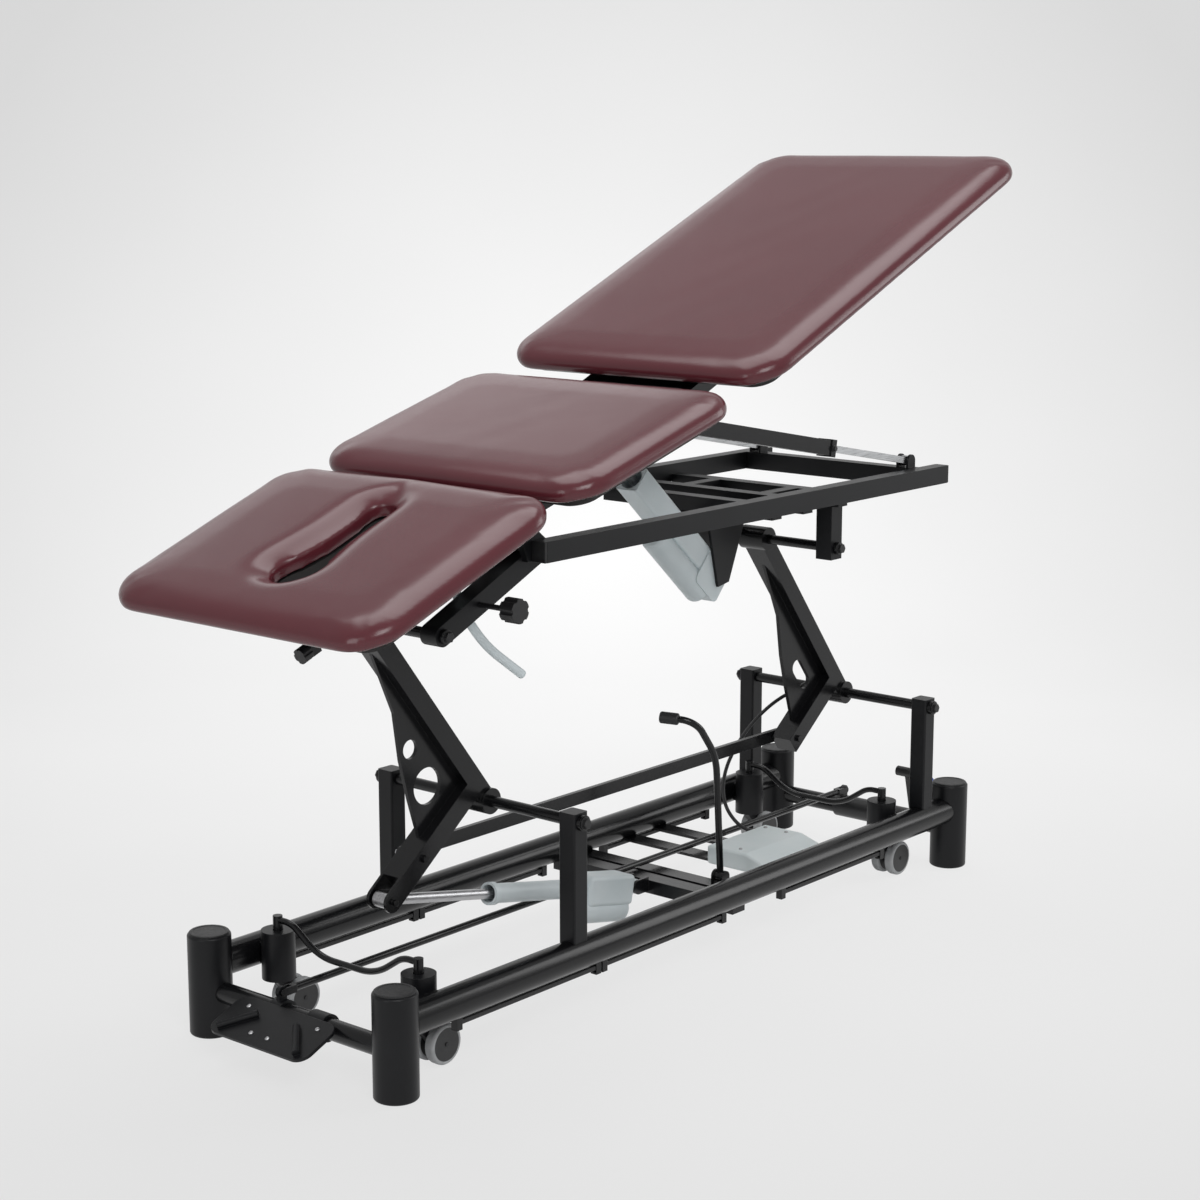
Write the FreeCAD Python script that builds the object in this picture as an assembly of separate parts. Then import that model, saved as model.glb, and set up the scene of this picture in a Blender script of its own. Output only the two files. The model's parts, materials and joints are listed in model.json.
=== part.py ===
import FreeCAD
import Part
import math
import os

# Physiotherapy table, millimetres. +X runs from the head end to the foot end, +Z is up.
# The origin is on the floor under the middle of the whole table.

# Base frame
base_centre = 20.0
foot_span = 1744.0
foot_track = 474.0
foot_diameter = 80.0
foot_height = 190.0
foot_edge = 5.0
foot_bore = 60.0
foot_bore_height = 165.0
rail_diameter = 60.0
rail_wall = 3.0
rail_height = 130.0
cross_tube_diameter = 38.0
cross_tube_height = 84.0
post_size = 38.0
post_track = 466.0
post_top = 402.0
post_edge = 4.0

# Lift parallelogram
head_pivot_x = -387.0
foot_pivot_x = 780.0
pivot_height = 384.0
shaft_diameter = 22.0
top_shaft_diameter = 20.0
running_clearance = 0.05
arm_length = 490.0
arm_lean = 38.0
arm_width = 50.0
arm_depth = 38.0
sleeve_diameter = 50.0
sleeve_length = 64.0
crank_offset = 50.0
crank_depth = 40.0
head_crank_length = 284.0
foot_crank_length = 205.0
gusset_thickness = 8.0
gusset_reach = 155.0
gusset_height = 430.0
tie_along_crank = 182.0
tie_thickness = 10.0
tie_height = 26.0
tie_pin_diameter = 14.0
lug_thickness = 6.0
side_gap = 1.0

# Lift actuator
rear_pin_x = 62.0
rear_pin_height = 104.0
actuator_pin_diameter = 12.0
lift_tube_outer = 38.0
lift_tube_bore = 34.0
lift_tube_start = 160.0
lift_tube_end = 436.0
lift_motor_diameter = 56.0
lift_motor_drop = 44.0
lift_motor_start = 28.0
lift_motor_end = 186.0
lift_ram_diameter = 20.0
lift_ram_start = 335.0
actuator_eye = 30.0
actuator_eye_width = 30.0

# Top frame
rail_over_pivot = 140.0
top_rail_height = 38.0
top_rail_width = 32.0
top_frame_width = 500.0
top_rail_head = -475.0
top_rail_foot = 826.0
cross_width = 32.0
low_cross_drop = 22.0
low_cross_height = 30.0
hanger_size = 38.0
hanger_track = 370.0
wall = 2.5
cap_thickness = 5.0

# Sections
hinge_reach = 22.0
hinge_rise = 30.0
middle_angle = 16.2
leg_angle = 23.5
head_angle = 21.1
hinge_shaft_diameter = 20.0
leg_shaft_diameter = 16.0
leg_hinge_along = 545.0
cushion_width = 686.0
cushion_thickness = 50.0
cushion_corner = 62.0
cushion_crown = 4.0
board_thickness = 15.0
board_inset = 45.0
middle_lift = 12.0
leg_lift = 12.0
head_lift = 21.0
middle_cushion = (21.0, 515.0)
leg_cushion = (37.0, 1051.0)
head_cushion = (-513.0, -1.0)
frame_tube_height = 30.0
frame_tube_width = 25.0
middle_track = 330.0
inner_track = 250.0
eye_diameter = 34.0

# Breathing slot of the head cushion
slot_head_end = -332.0
slot_neck_end = -124.0
slot_head_radius = 48.0
slot_neck_radius = 29.0

# Tilt actuator
tilt_pin_x = 285.0
tilt_pin_drop = 136.0
tilt_y = -20.0
tilt_lug_along = 451.0
tilt_lug_drop = 44.0
tilt_tube_size = 54.0
tilt_tube_bore = 46.0
tilt_tube_start = 62.0
tilt_tube_end = 335.0
tilt_ram_diameter = 18.0
tilt_ram_start = 165.0
tilt_case_half = 30.0
tilt_motor_diameter = 56.0
tilt_motor_drop = 46.0
tilt_motor_end = 205.0

# Side stays
stay_gap = 2.0
stay_along = 536.0
stay_drop = 30.0
stay_block_x = 746.0
stay_pin_rise = 14.0
stay_tube_size = 31.0
stay_tube_bore = 27.0
stay_tube_length = 440.0
stay_collar = 36.0
stay_bar_height = 14.0
stay_bar_width = 18.0
stay_bar_length = 395.0
stay_pin_diameter = 12.0

# Head gas spring, release lever and end knob
spring_diameter = 22.0
spring_bore = 17.0
spring_rod_diameter = 8.0
spring_pin_diameter = 8.0
spring_eye = 18.0
spring_eye_width = 10.0
head_spring_y = 75.0
head_spring_reach = 50.0
head_spring_below = 20.0
head_spring_along = -228.0
head_spring_drop = 34.0
release_along = -139.0
release_drop = 31.0
release_diameter = 17.0
end_knob_along = -402.0
end_knob_y = -60.0
end_knob_drop = 40.0
clamp_reach = 64.0

# Controls
switch_width = 12.0
switch_height = 10.0
switch_level = 86.0
switch_travel = 4.0
switch_bars = ((-702.0, -328.0), (-310.0, 56.0), (255.0, 615.0))
switch_block = 14.0
slip_gap = 0.3
pedal_lug_radius = 38.0
pedal_lug_half = 4.0
pedal_pin_diameter = 10.0
pedal_pin_play = 1.2
pedal_sleeve = 50.0
pedal_reach = 100.0
pedal_side = (-120.0, 126.0)
pedal_corner = 26.0
link_y = 46.0
link_diameter = 14.0
lever_x = 178.0
lever_y = -140.0
lever_pin_height = 124.0
lever_top = 464.0
lever_diameter = 14.0
grip_diameter = 24.0

# Castors
castor_head_x = -737.0
castor_foot_x = 706.0
castor_track = 360.0
castor_drop = 10.0
housing_diameter = 63.0
housing_bottom = 86.0
housing_top = 178.0
housing_cap = 4.0
stem_diameter = 40.0
stem_clearance = 0.1
stem_height = 72.0
neck_diameter = 18.0
swivel_pin_diameter = 14.0
wheel_diameter = 75.0
wheel_width = 20.0
wheel_clearance = 4.0
castor_trail = 40.0
axle_diameter = 8.0
fork_thickness = 14.0
carrier_rod_diameter = 12.0
carrier_top = 197.0
carrier_low = 150.0
carrier_shoulder = 142.0
carrier_half_span = 72.0

# Control box and leads
box_x = (275.0, 480.0)
box_y = (-175.0, -30.0)
box_height = 40.0
box_edge = 6.0
tray_thickness = 6.0
tray_top = 106.0
lead_diameter = 8.0

# Worked-out values
foot_xs = (base_centre - foot_span / 2, base_centre + foot_span / 2)
foot_y = foot_track / 2
post_y = post_track / 2
hanger_y = hanger_track / 2
rail_outer = top_frame_width / 2
rail_inner = rail_outer - top_rail_width
wheel_radius = wheel_diameter / 2
wheel_height = wheel_radius + wheel_clearance
castor_y = castor_track / 2
lean = math.radians(arm_lean)
top_pivot_dx = -arm_length * math.sin(lean)
top_pivot_dz = arm_length * math.cos(lean)
top_pivot_height = pivot_height + top_pivot_dz
top_rail_top = top_pivot_height + rail_over_pivot
top_rail_bottom = top_rail_top - top_rail_height
low_cross_top = top_rail_top - low_cross_drop
low_cross_bottom = low_cross_top - low_cross_height
hinge_x = top_rail_head - hinge_reach
hinge_height = top_rail_top + hinge_rise
tilt_pin_height = low_cross_bottom - tilt_pin_drop
stay_y = middle_track / 2 + frame_tube_width / 2 + stay_gap + stay_tube_size / 2
stay_pin_height = top_rail_top + stay_pin_rise
head_spring_x = top_rail_head + head_spring_reach
head_spring_height = top_rail_bottom - head_spring_below
arm_pitch = 90.0 + arm_lean
link_height = cross_tube_height + pedal_lug_radius
tilt_plate_y = tilt_case_half + side_gap
grip_run = FreeCAD.Vector(-30.0, 64.0, 4.0)


def vec(x, y, z):
    return FreeCAD.Vector(x, y, z)


def box(x0, x1, y0, y1, z0, z1):
    return Part.makeBox(x1 - x0, y1 - y0, z1 - z0, vec(x0, y0, z0))


def rod(diameter, start, end):
    path = end - start
    return Part.makeCylinder(diameter / 2, path.Length, start, path)


def pin(diameter, x, z, y0, y1):
    return rod(diameter, vec(x, y0, z), vec(x, y1, z))


def placed(shape, x, z, angle, y=0.0):
    # Turns a shape drawn along +X up by an angle in the XZ plane and sets its origin at (x, y, z).
    moved = shape.copy()
    moved.Placement = FreeCAD.Placement(vec(x, y, z), FreeCAD.Rotation(vec(0, -1, 0), angle))
    return moved


def point_on(x, z, angle, along, up):
    a = math.radians(angle)
    return (x + along * math.cos(a) - up * math.sin(a), z + along * math.sin(a) + up * math.cos(a))


def plate(points, y0, y1):
    corners = [vec(x, y0, z) for x, z in points]
    face = Part.Face(Part.makePolygon(corners + corners[:1]))
    return face.extrude(vec(0, y1 - y0, 0))


def joined(shapes):
    return shapes[0].multiFuse(shapes[1:]).removeSplitter()


def group(shapes):
    return Part.makeCompound(shapes)


def edges_along(shape, direction):
    return [e for e in shape.Edges if abs(e.tangentAt(e.FirstParameter).dot(direction)) > 0.9]


def hollow_bar(length, width, height, thickness):
    outer = box(0, length, -width / 2, width / 2, -height / 2, height / 2)
    inner_y = width / 2 - thickness
    inner_z = height / 2 - thickness
    return outer.cut(box(-1, length + 1, -inner_y, inner_y, -inner_z, inner_z))


def path_wire(points, share=0.45):
    # Straight runs joined by tangent arcs, each as large as its two runs allow.
    edges = []
    start = points[0]
    for before, corner, after in zip(points, points[1:], points[2:]):
        run_in = (before - corner).normalize()
        run_out = (after - corner).normalize()
        reach = share * min((corner - before).Length, (after - corner).Length)
        first = corner + run_in * reach
        last = corner + run_out * reach
        half = run_in.getAngle(run_out) / 2
        radius = reach * math.tan(half)
        inward = (run_in + run_out).normalize()
        middle = corner + inward * (radius / math.sin(half) - radius)
        edges.append(Part.LineSegment(start, first).toShape())
        edges.append(Part.Arc(first, middle, last).toShape())
        start = last
    edges.append(Part.LineSegment(start, points[-1]).toShape())
    return Part.Wire(edges)


def tube_along(points, diameter):
    wire = path_wire(points)
    heading = points[1] - points[0]
    section = Part.Wire(Part.makeCircle(diameter / 2, points[0], heading))
    return wire.makePipeShell([section], True, False)


def feet():
    shapes = []
    for x in foot_xs:
        for y in (-foot_y, foot_y):
            body = Part.makeCylinder(foot_diameter / 2, foot_height, vec(x, y, 0))
            shapes.append(body.makeFillet(foot_edge, [e for e in body.Edges if len(e.Vertexes) == 1]))
    return shapes


def foot_tubes():
    tubes = []
    for body in feet():
        middle = body.BoundBox.Center
        tubes.append(body.cut(Part.makeCylinder(foot_bore / 2, foot_bore_height, vec(middle.x, middle.y, 0))))
    return tubes


def base_rail(side):
    y = side * foot_y
    ends = (vec(foot_xs[0], y, rail_height), vec(foot_xs[1], y, rail_height))
    rail = rod(rail_diameter, *ends).cut(rod(rail_diameter - 2 * rail_wall, *ends))
    for foot in feet():
        rail = rail.cut(foot)
    half = switch_block / 2
    block_top = rail_height - rail_diameter / 2 + rail_wall
    blocks = []
    for start, end in switch_bars:
        for x, inward in ((start, 1), (end, -1)):
            block = box(x - half, x + half, y - half, y + half, switch_level - switch_travel - 4, block_top)
            slot_half = switch_width / 2 + slip_gap
            slot_x = sorted((x, x + inward * switch_block))
            slot_bottom = switch_level - switch_travel - slip_gap
            slot_top = switch_level + switch_height + slip_gap
            slot = box(slot_x[0], slot_x[1], y - slot_half, y + slot_half, slot_bottom, slot_top)
            blocks.append(block.cut(slot))
    return joined([rail] + blocks)


def switch_bar(side):
    y = side * foot_y
    half = switch_width / 2
    bars = []
    for start, end in switch_bars:
        top = switch_level + switch_height
        bar = box(start + slip_gap, end - slip_gap, y - half, y + half, switch_level, top)
        bars.append(bar.makeFillet(3.0, edges_along(bar, vec(1, 0, 0))))
    return group(bars)


def rail_bodies():
    span = (vec(foot_xs[0], 0, rail_height), vec(foot_xs[1], 0, rail_height))
    bodies = []
    for y in (-foot_y, foot_y):
        shift = vec(0, y, 0)
        bodies.append(rod(rail_diameter, span[0] + shift, span[1] + shift))
    return bodies


def between_rails(shape):
    for body in rail_bodies() + feet():
        shape = shape.cut(body)
    solids = sorted(shape.Solids, key=lambda s: s.Volume)
    return solids[-1]


def base_cross_members():
    tubes = []
    for x in foot_xs:
        tubes.append(between_rails(pin(cross_tube_diameter, x, cross_tube_height, -foot_y, foot_y)))
    bridge_x = rear_pin_x + actuator_eye
    bridge = box(bridge_x, bridge_x + 40, -foot_y, foot_y, rear_pin_height - 20, rear_pin_height + 8)
    ear_y = actuator_eye_width / 2 + side_gap
    ears = []
    for side in (-1, 1):
        near, far = sorted((side * ear_y, side * (ear_y + lug_thickness)))
        tip = pin(actuator_eye, rear_pin_x, rear_pin_height, near, far)
        arm = box(rear_pin_x, bridge_x, near, far, rear_pin_height - 15, rear_pin_height + 15)
        ears.append(tip.fuse(arm))
    bolt_y = ear_y + lug_thickness
    bolt = pin(actuator_pin_diameter, rear_pin_x, rear_pin_height, -bolt_y, bolt_y)
    bridge = joined([between_rails(bridge)] + ears + [bolt])
    straps = []
    for x in (lever_x, box_x[0] + 50, box_x[1] - 50):
        strap = box(x - 20, x + 20, -foot_y, foot_y, tray_top - tray_thickness, tray_top)
        straps.append(between_rails(strap))
    ear_gap = lever_diameter / 2 + side_gap
    for side in (-1, 1):
        near, far = sorted((lever_y + side * ear_gap, lever_y + side * (ear_gap + lug_thickness)))
        tip = pin(26.0, lever_x, lever_pin_height, near, far)
        leg = box(lever_x - 13, lever_x + 13, near, far, tray_top, lever_pin_height)
        straps[0] = straps[0].fuse(tip).fuse(leg)
    ear_far = ear_gap + lug_thickness
    lever_bolt = pin(8.0, lever_x, lever_pin_height, lever_y - ear_far, lever_y + ear_far)
    straps[0] = straps[0].fuse(lever_bolt).removeSplitter()
    return group(tubes + [bridge] + straps)


def pivot_posts():
    posts = []
    half = post_size / 2
    for x in (head_pivot_x, foot_pivot_x):
        for side in (-1, 1):
            y = side * post_y
            post = box(x - half, x + half, y - half, y + half, rail_height, post_top)
            post = post.makeFillet(post_edge, edges_along(post, vec(0, 0, 1)))
            for body in rail_bodies():
                post = post.cut(body)
            posts.append(post.cut(pin(shaft_diameter, x, pivot_height, y - post_size, y + post_size)))
    return group(posts)


def pivot_shafts():
    reach = post_y + post_size / 2
    shafts = []
    for x in (head_pivot_x, foot_pivot_x):
        shaft = pin(shaft_diameter, x, pivot_height, -reach, reach)
        heads = [pin(30.0, x, pivot_height, y, y + 9) for y in (-reach - 9, reach)]
        shafts.append(joined([shaft] + heads))
    return group(shafts)


def gusset_outline():
    # Web in the corner of arm and crank, wide beside its holes and drawn in towards the top.
    start = crank_offset + crank_depth / 2 - 1
    face = arm_depth / 2 - 1
    return ((start, face), (gusset_height, face), (gusset_height - 130, face + 32),
            (gusset_height - 210, face + 77), (gusset_height - 280, face + 107), (start, gusset_reach))


def lift_arm(crank_length, crank_end):
    # Drawn with the arm along +X from the pivot and the crank along +Z, then leaned over.
    half_width = arm_width / 2
    half = crank_depth / 2
    tube = box(0, arm_length, -half_width, half_width, -arm_depth / 2, arm_depth / 2)
    crank = box(crank_offset - half, crank_offset + half, -half_width, half_width, 0, crank_end)
    pieces = [tube, crank, plate(gusset_outline(), -gusset_thickness / 2, gusset_thickness / 2)]
    for along in (0.0, arm_length):
        pieces.append(pin(sleeve_diameter, along, 0, -sleeve_length / 2, sleeve_length / 2))
    if crank_length > crank_end:
        for side in (-1, 1):
            cheek = sorted((side * (half_width - lug_thickness), side * half_width))
            pieces.append(box(crank_offset - half, crank_offset + half, *cheek, crank_end, crank_length))
            pieces.append(pin(crank_depth, crank_offset, crank_length, cheek[0], cheek[1]))
        pieces.append(pin(actuator_pin_diameter, crank_offset, crank_length, -half_width - 8, half_width + 8))
    arm = joined(pieces)
    reach = sleeve_length
    arm = arm.cut(pin(shaft_diameter + 2 * running_clearance, 0, 0, -reach, reach))
    arm = arm.cut(pin(top_shaft_diameter + 2 * running_clearance, arm_length, 0, -reach, reach))
    inner_height = arm_depth / 2 - wall
    inner_y = half_width - wall
    arm = arm.cut(box(crank_offset + half + 30, arm_length - sleeve_diameter, -inner_y, inner_y,
                      -inner_height, inner_height))
    tie_hole = tie_pin_diameter + 2 * running_clearance
    return arm.cut(pin(tie_hole, crank_offset, tie_along_crank, -arm_width, arm_width))


def head_lift_arm():
    arm = lift_arm(head_crank_length, head_crank_length - crank_depth)
    for diameter, along, out in ((70.0, 131.0, 79.0), (36.0, 218.0, 65.0)):
        arm = arm.cut(pin(diameter, along, out, -gusset_thickness, gusset_thickness))
    return placed(arm, head_pivot_x, pivot_height, arm_pitch)


def foot_lift_arm():
    arm = lift_arm(foot_crank_length, foot_crank_length)
    ends = (112.0, 156.0)
    out = 71.0
    slot = [pin(34.0, along, out, -gusset_thickness, gusset_thickness) for along in ends]
    slot.append(box(ends[0], ends[1], -gusset_thickness, gusset_thickness, out - 17, out + 17))
    return placed(arm.cut(joined(slot)), foot_pivot_x, pivot_height, arm_pitch)


def on_arm(pivot_x, along, out):
    return point_on(pivot_x, pivot_height, arm_pitch, along, out)


def tie_rod():
    # Flat bar along the far sides of both cranks, with a pin through each crank.
    head_x, z = on_arm(head_pivot_x, crank_offset, tie_along_crank)
    foot_x, z = on_arm(foot_pivot_x, crank_offset, tie_along_crank)
    near = arm_width / 2 + side_gap
    far = near + tie_thickness
    half_z = tie_height / 2
    pieces = [box(head_x, foot_x, near, far, z - half_z, z + half_z)]
    for x in (head_x, foot_x):
        pieces.append(pin(tie_height, x, z, near, far))
        pieces.append(pin(tie_pin_diameter, x, z, -near - 5, far + 5))
    return joined(pieces)


def lift_axis():
    x, z = on_arm(head_pivot_x, crank_offset, head_crank_length)
    dx = x - rear_pin_x
    dz = z - rear_pin_height
    return math.hypot(dx, dz), math.degrees(math.atan2(dz, dx))


def lift_placed(shape):
    return placed(shape, rear_pin_x, rear_pin_height, lift_axis()[1])


def lift_motor():
    # Gear case on the tube axis with the motor hanging under it; local +Z points down.
    reach = actuator_eye_width / 2
    eye = pin(actuator_eye, 0, 0, -reach, reach)
    neck = box(0, 40, -reach, reach, -12, 12)
    case = box(24, lift_tube_start, -30, 30, -28, 34)
    case = case.makeFillet(9.0, case.Edges)
    motor = lift_motor_barrel()
    motor = motor.makeFillet(8.0, [e for e in motor.Edges if len(e.Vertexes) == 1])
    shape = joined([eye, neck, case, motor])
    hole = pin(actuator_pin_diameter + 2 * running_clearance, 0, 0, -reach - 1, reach + 1)
    return lift_placed(shape.cut(hole))


def lift_tube():
    start = vec(lift_tube_start, 0, 0)
    end = vec(lift_tube_end, 0, 0)
    tube = rod(lift_tube_outer, start, end)
    collar = rod(lift_tube_outer + 6, end - vec(14, 0, 0), end)
    tube = tube.fuse(collar).cut(rod(lift_tube_bore, start, end + vec(1, 0, 0)))
    return lift_placed(tube.cut(lift_motor_barrel()))


def lift_motor_barrel():
    start = vec(lift_motor_start, 0, lift_motor_drop)
    return rod(lift_motor_diameter, start, vec(lift_motor_end, 0, lift_motor_drop))


def lift_ram():
    length = lift_axis()[0]
    reach = actuator_eye_width / 2
    shaft = rod(lift_ram_diameter, vec(lift_ram_start, 0, 0), vec(length, 0, 0))
    eye = pin(actuator_eye, length, 0, -reach, reach)
    ram = joined([shaft, eye])
    hole = pin(actuator_pin_diameter + 2 * running_clearance, length, 0, -reach - 1, reach + 1)
    return lift_placed(ram.cut(hole))


def top_rails():
    length = top_rail_foot - top_rail_head
    rails = []
    for side in (-1, 1):
        rail = hollow_bar(length, top_rail_width, top_rail_height, wall)
        y = side * (rail_outer - top_rail_width / 2)
        rail.translate(vec(top_rail_head, y, top_rail_top - top_rail_height / 2))
        rails.append(rail)
    return group(rails)


def top_rail_blanks():
    blanks = []
    for side in (-1, 1):
        near, far = sorted((side * rail_inner, side * rail_outer))
        start = top_rail_head - cap_thickness
        blanks.append(box(start, top_rail_foot, near, far, top_rail_bottom, top_rail_top))
    return blanks


def rail_caps():
    caps = []
    for side in (-1, 1):
        near, far = sorted((side * rail_inner, side * rail_outer))
        for x in (top_rail_head - cap_thickness, top_rail_foot):
            cap = box(x, x + cap_thickness, near, far, top_rail_bottom, top_rail_top)
            caps.append(cap.makeFillet(1.5, cap.Edges))
    return group(caps)


def cross_bar(x, top, height):
    return box(x - cross_width / 2, x + cross_width / 2, -rail_inner, rail_inner, top - height, top)


def tilt_bar_xs():
    return (tilt_pin_x - 36, tilt_pin_x + 70)


def tilt_bracket():
    # Two plates under the cross bars, tied by the bolt that carries the tilt actuator.
    head_bar, foot_bar = tilt_bar_xs()
    outline = ((head_bar - 16, low_cross_bottom), (foot_bar + 16, low_cross_bottom),
               (tilt_pin_x + 22, tilt_pin_height - 16), (tilt_pin_x - 14, tilt_pin_height - 22))
    outer = tilt_plate_y + lug_thickness
    pieces = [pin(actuator_pin_diameter, tilt_pin_x, tilt_pin_height, tilt_y - outer, tilt_y + outer)]
    for side in (-1, 1):
        near, far = sorted((tilt_y + side * tilt_plate_y, tilt_y + side * outer))
        pieces.append(plate(outline, near, far))
    return joined(pieces)


def top_cross_members():
    head_x = top_rail_head + cross_width / 2
    hanger_x = foot_pivot_x + top_pivot_dx
    tilt_xs = tilt_bar_xs()
    bars = [cross_bar(head_x, top_rail_top, top_rail_height)]
    for x in tilt_xs + (hanger_x,):
        bars.append(cross_bar(x, low_cross_top, low_cross_height))
    foot_bar = cross_bar(stay_block_x, top_rail_top, top_rail_height)
    block_half = stay_bar_width / 2 + side_gap
    blocks = []
    for side in (-1, 1):
        for edge in (-1, 1):
            middle = side * stay_y
            near, far = sorted((middle + edge * block_half, middle + edge * (block_half + 5)))
            cheek = box(stay_block_x - 14, stay_block_x + 14, near, far, top_rail_top, stay_pin_height)
            blocks.append(cheek.fuse(pin(28.0, stay_block_x, stay_pin_height, near, far)))
        blocks.append(pin(stay_pin_diameter, stay_block_x, stay_pin_height,
                          side * stay_y - block_half - 5, side * stay_y + block_half + 5))
    foot_bar = joined([foot_bar] + blocks)
    inner = []
    for side in (-1, 1):
        y = side * 100.0
        inner.append(box(tilt_xs[1] + cross_width / 2, hanger_x - cross_width / 2, y - 14, y + 14,
                         low_cross_bottom, low_cross_top))
    middle = joined([bars[1], bars[2], bars[3]] + inner)
    ear = []
    for edge in (-1, 1):
        near, far = sorted((head_spring_y + edge * 6, head_spring_y + edge * 11))
        leg = box(head_spring_x - 9, head_spring_x + 9, near, far, head_spring_height, top_rail_bottom + 20)
        ear.append(leg.fuse(pin(18.0, head_spring_x, head_spring_height, near, far)))
        reach_x = (head_x + cross_width / 2, head_spring_x + 9)
        ear.append(box(reach_x[0], reach_x[1], near, far, top_rail_bottom, top_rail_bottom + 20))
    ear.append(pin(spring_pin_diameter, head_spring_x, head_spring_height,
                   head_spring_y - 11, head_spring_y + 11))
    return group([joined([bars[0]] + ear), middle, foot_bar])


def top_hangers():
    half = hanger_size / 2
    hanger_x = foot_pivot_x + top_pivot_dx
    beam_x = head_pivot_x + top_pivot_dx
    shapes = []
    for side in (-1, 1):
        y = side * hanger_y
        foot = box(hanger_x - half, hanger_x + half, y - half, y + half, top_pivot_height - 24,
                   low_cross_bottom)
        shapes.append(foot.cut(pin(top_shaft_diameter, hanger_x, top_pivot_height, y - half, y + half)))
        beam_top_x = top_rail_head + cross_width
        beam_top_z = top_rail_bottom + half / 2
        dx = beam_top_x - beam_x
        dz = beam_top_z - top_pivot_height
        beam = box(0, math.hypot(dx, dz), -half, half, -half, half)
        beam = placed(beam, beam_x, top_pivot_height, math.degrees(math.atan2(dz, dx)), y)
        beam = beam.fuse(pin(hanger_size, beam_x, top_pivot_height, y - half, y + half))
        near, far = sorted((side * (hanger_y + half), side * rail_inner))
        lug = plate(((beam_top_x, top_rail_bottom), (beam_top_x, top_rail_top), (hinge_x + 16, hinge_height),
                     (hinge_x - 16, hinge_height), (top_rail_head - 14, top_rail_bottom)), near, far)
        lug = lug.fuse(pin(32.0, hinge_x, hinge_height, near, far))
        lug = lug.cut(pin(hinge_shaft_diameter, hinge_x, hinge_height, near - 1, far + 1))
        head = beam.fuse(lug)
        for blank in top_rail_blanks():
            head = head.cut(blank)
        head = head.cut(cross_bar(top_rail_head + cross_width / 2, top_rail_top, top_rail_height))
        head = head.cut(pin(top_shaft_diameter, beam_x, top_pivot_height, y - half, y + half))
        knob_x, knob_z = clamp_point()
        hole = 10.0 + 2 * running_clearance
        head = head.cut(pin(hole, knob_x, knob_z, -hanger_y - half, -hanger_y + half))
        shapes.append(joined(head.Solids))
    return group(shapes)


def clamp_point():
    beam_x = head_pivot_x + top_pivot_dx
    share = 0.37
    dx = top_rail_head + cross_width - beam_x
    dz = top_rail_bottom + hanger_size / 4 - top_pivot_height
    return (beam_x + share * dx, top_pivot_height + share * dz)


def top_shafts():
    reach = hanger_y + hanger_size / 2
    shafts = [pin(hinge_shaft_diameter, hinge_x, hinge_height, -rail_inner, rail_inner)]
    for x in (head_pivot_x + top_pivot_dx, foot_pivot_x + top_pivot_dx):
        shaft = pin(top_shaft_diameter, x, top_pivot_height, -reach, reach)
        heads = [pin(26.0, x, top_pivot_height, y, y + 8) for y in (-reach - 8, reach)]
        shafts.append(joined([shaft] + heads))
    return group(shafts)


def on_middle(along, up):
    return point_on(hinge_x, hinge_height, middle_angle, along, up)


def on_head(along, up):
    return point_on(hinge_x, hinge_height, head_angle, along, up)


def leg_hinge():
    return on_middle(leg_hinge_along, 0.0)


def on_leg(along, up):
    x, z = leg_hinge()
    return point_on(x, z, leg_angle, along, up)


def middle_placed(shape):
    return placed(shape, hinge_x, hinge_height, middle_angle)


def head_placed(shape):
    return placed(shape, hinge_x, hinge_height, head_angle)


def leg_placed(shape):
    x, z = leg_hinge()
    return placed(shape, x, z, leg_angle)


def rounded_outline(u0, u1, width, corner, z):
    # Rounded rectangle from straight sides and quarter arcs.
    half = width / 2
    tip = corner * (1 - math.sqrt(0.5))
    sides = [((u0 + corner, -half), (u1 - corner, -half)), ((u1, -half + corner), (u1, half - corner)),
             ((u1 - corner, half), (u0 + corner, half)), ((u0, half - corner), (u0, -half + corner))]
    side = half - tip
    tips = [(u1 - tip, -side), (u1 - tip, side), (u0 + tip, side), (u0 + tip, -side)]
    edges = []
    for index, (start, end) in enumerate(sides):
        following = sides[(index + 1) % 4][0]
        edges.append(Part.LineSegment(vec(*start, z), vec(*end, z)).toShape())
        edges.append(Part.Arc(vec(*end, z), vec(*tips[index], z), vec(*following, z)).toShape())
    return Part.Wire(edges)


def cushion(span, bottom):
    # Sides lean in under the widest line and roll over into a crowned top.
    steps = ((0.0, 13.0), (0.16, 4.5), (0.42, 0.0), (0.66, 1.5), (0.85, 6.5), (0.96, 15.0), (1.0, 29.0))
    outlines = []
    for share, inset in steps:
        z = bottom + share * (cushion_thickness - cushion_crown)
        corner = cushion_corner - inset * 0.5
        width = cushion_width - 2 * inset
        outlines.append(rounded_outline(span[0] + inset, span[1] - inset, width, corner, z))
    inset = cushion_corner + 40.0
    outlines.append(rounded_outline(span[0] + inset, span[1] - inset, cushion_width - 2 * inset,
                                    cushion_corner - 20.0, bottom + cushion_thickness))
    return Part.makeLoft(outlines, True, True)


def board(span, bottom):
    inset = board_inset
    outline = rounded_outline(span[0] + inset, span[1] - inset, cushion_width - 2 * inset,
                              cushion_corner - inset / 2, bottom)
    return Part.Face(outline).extrude(vec(0, 0, board_thickness))


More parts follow.
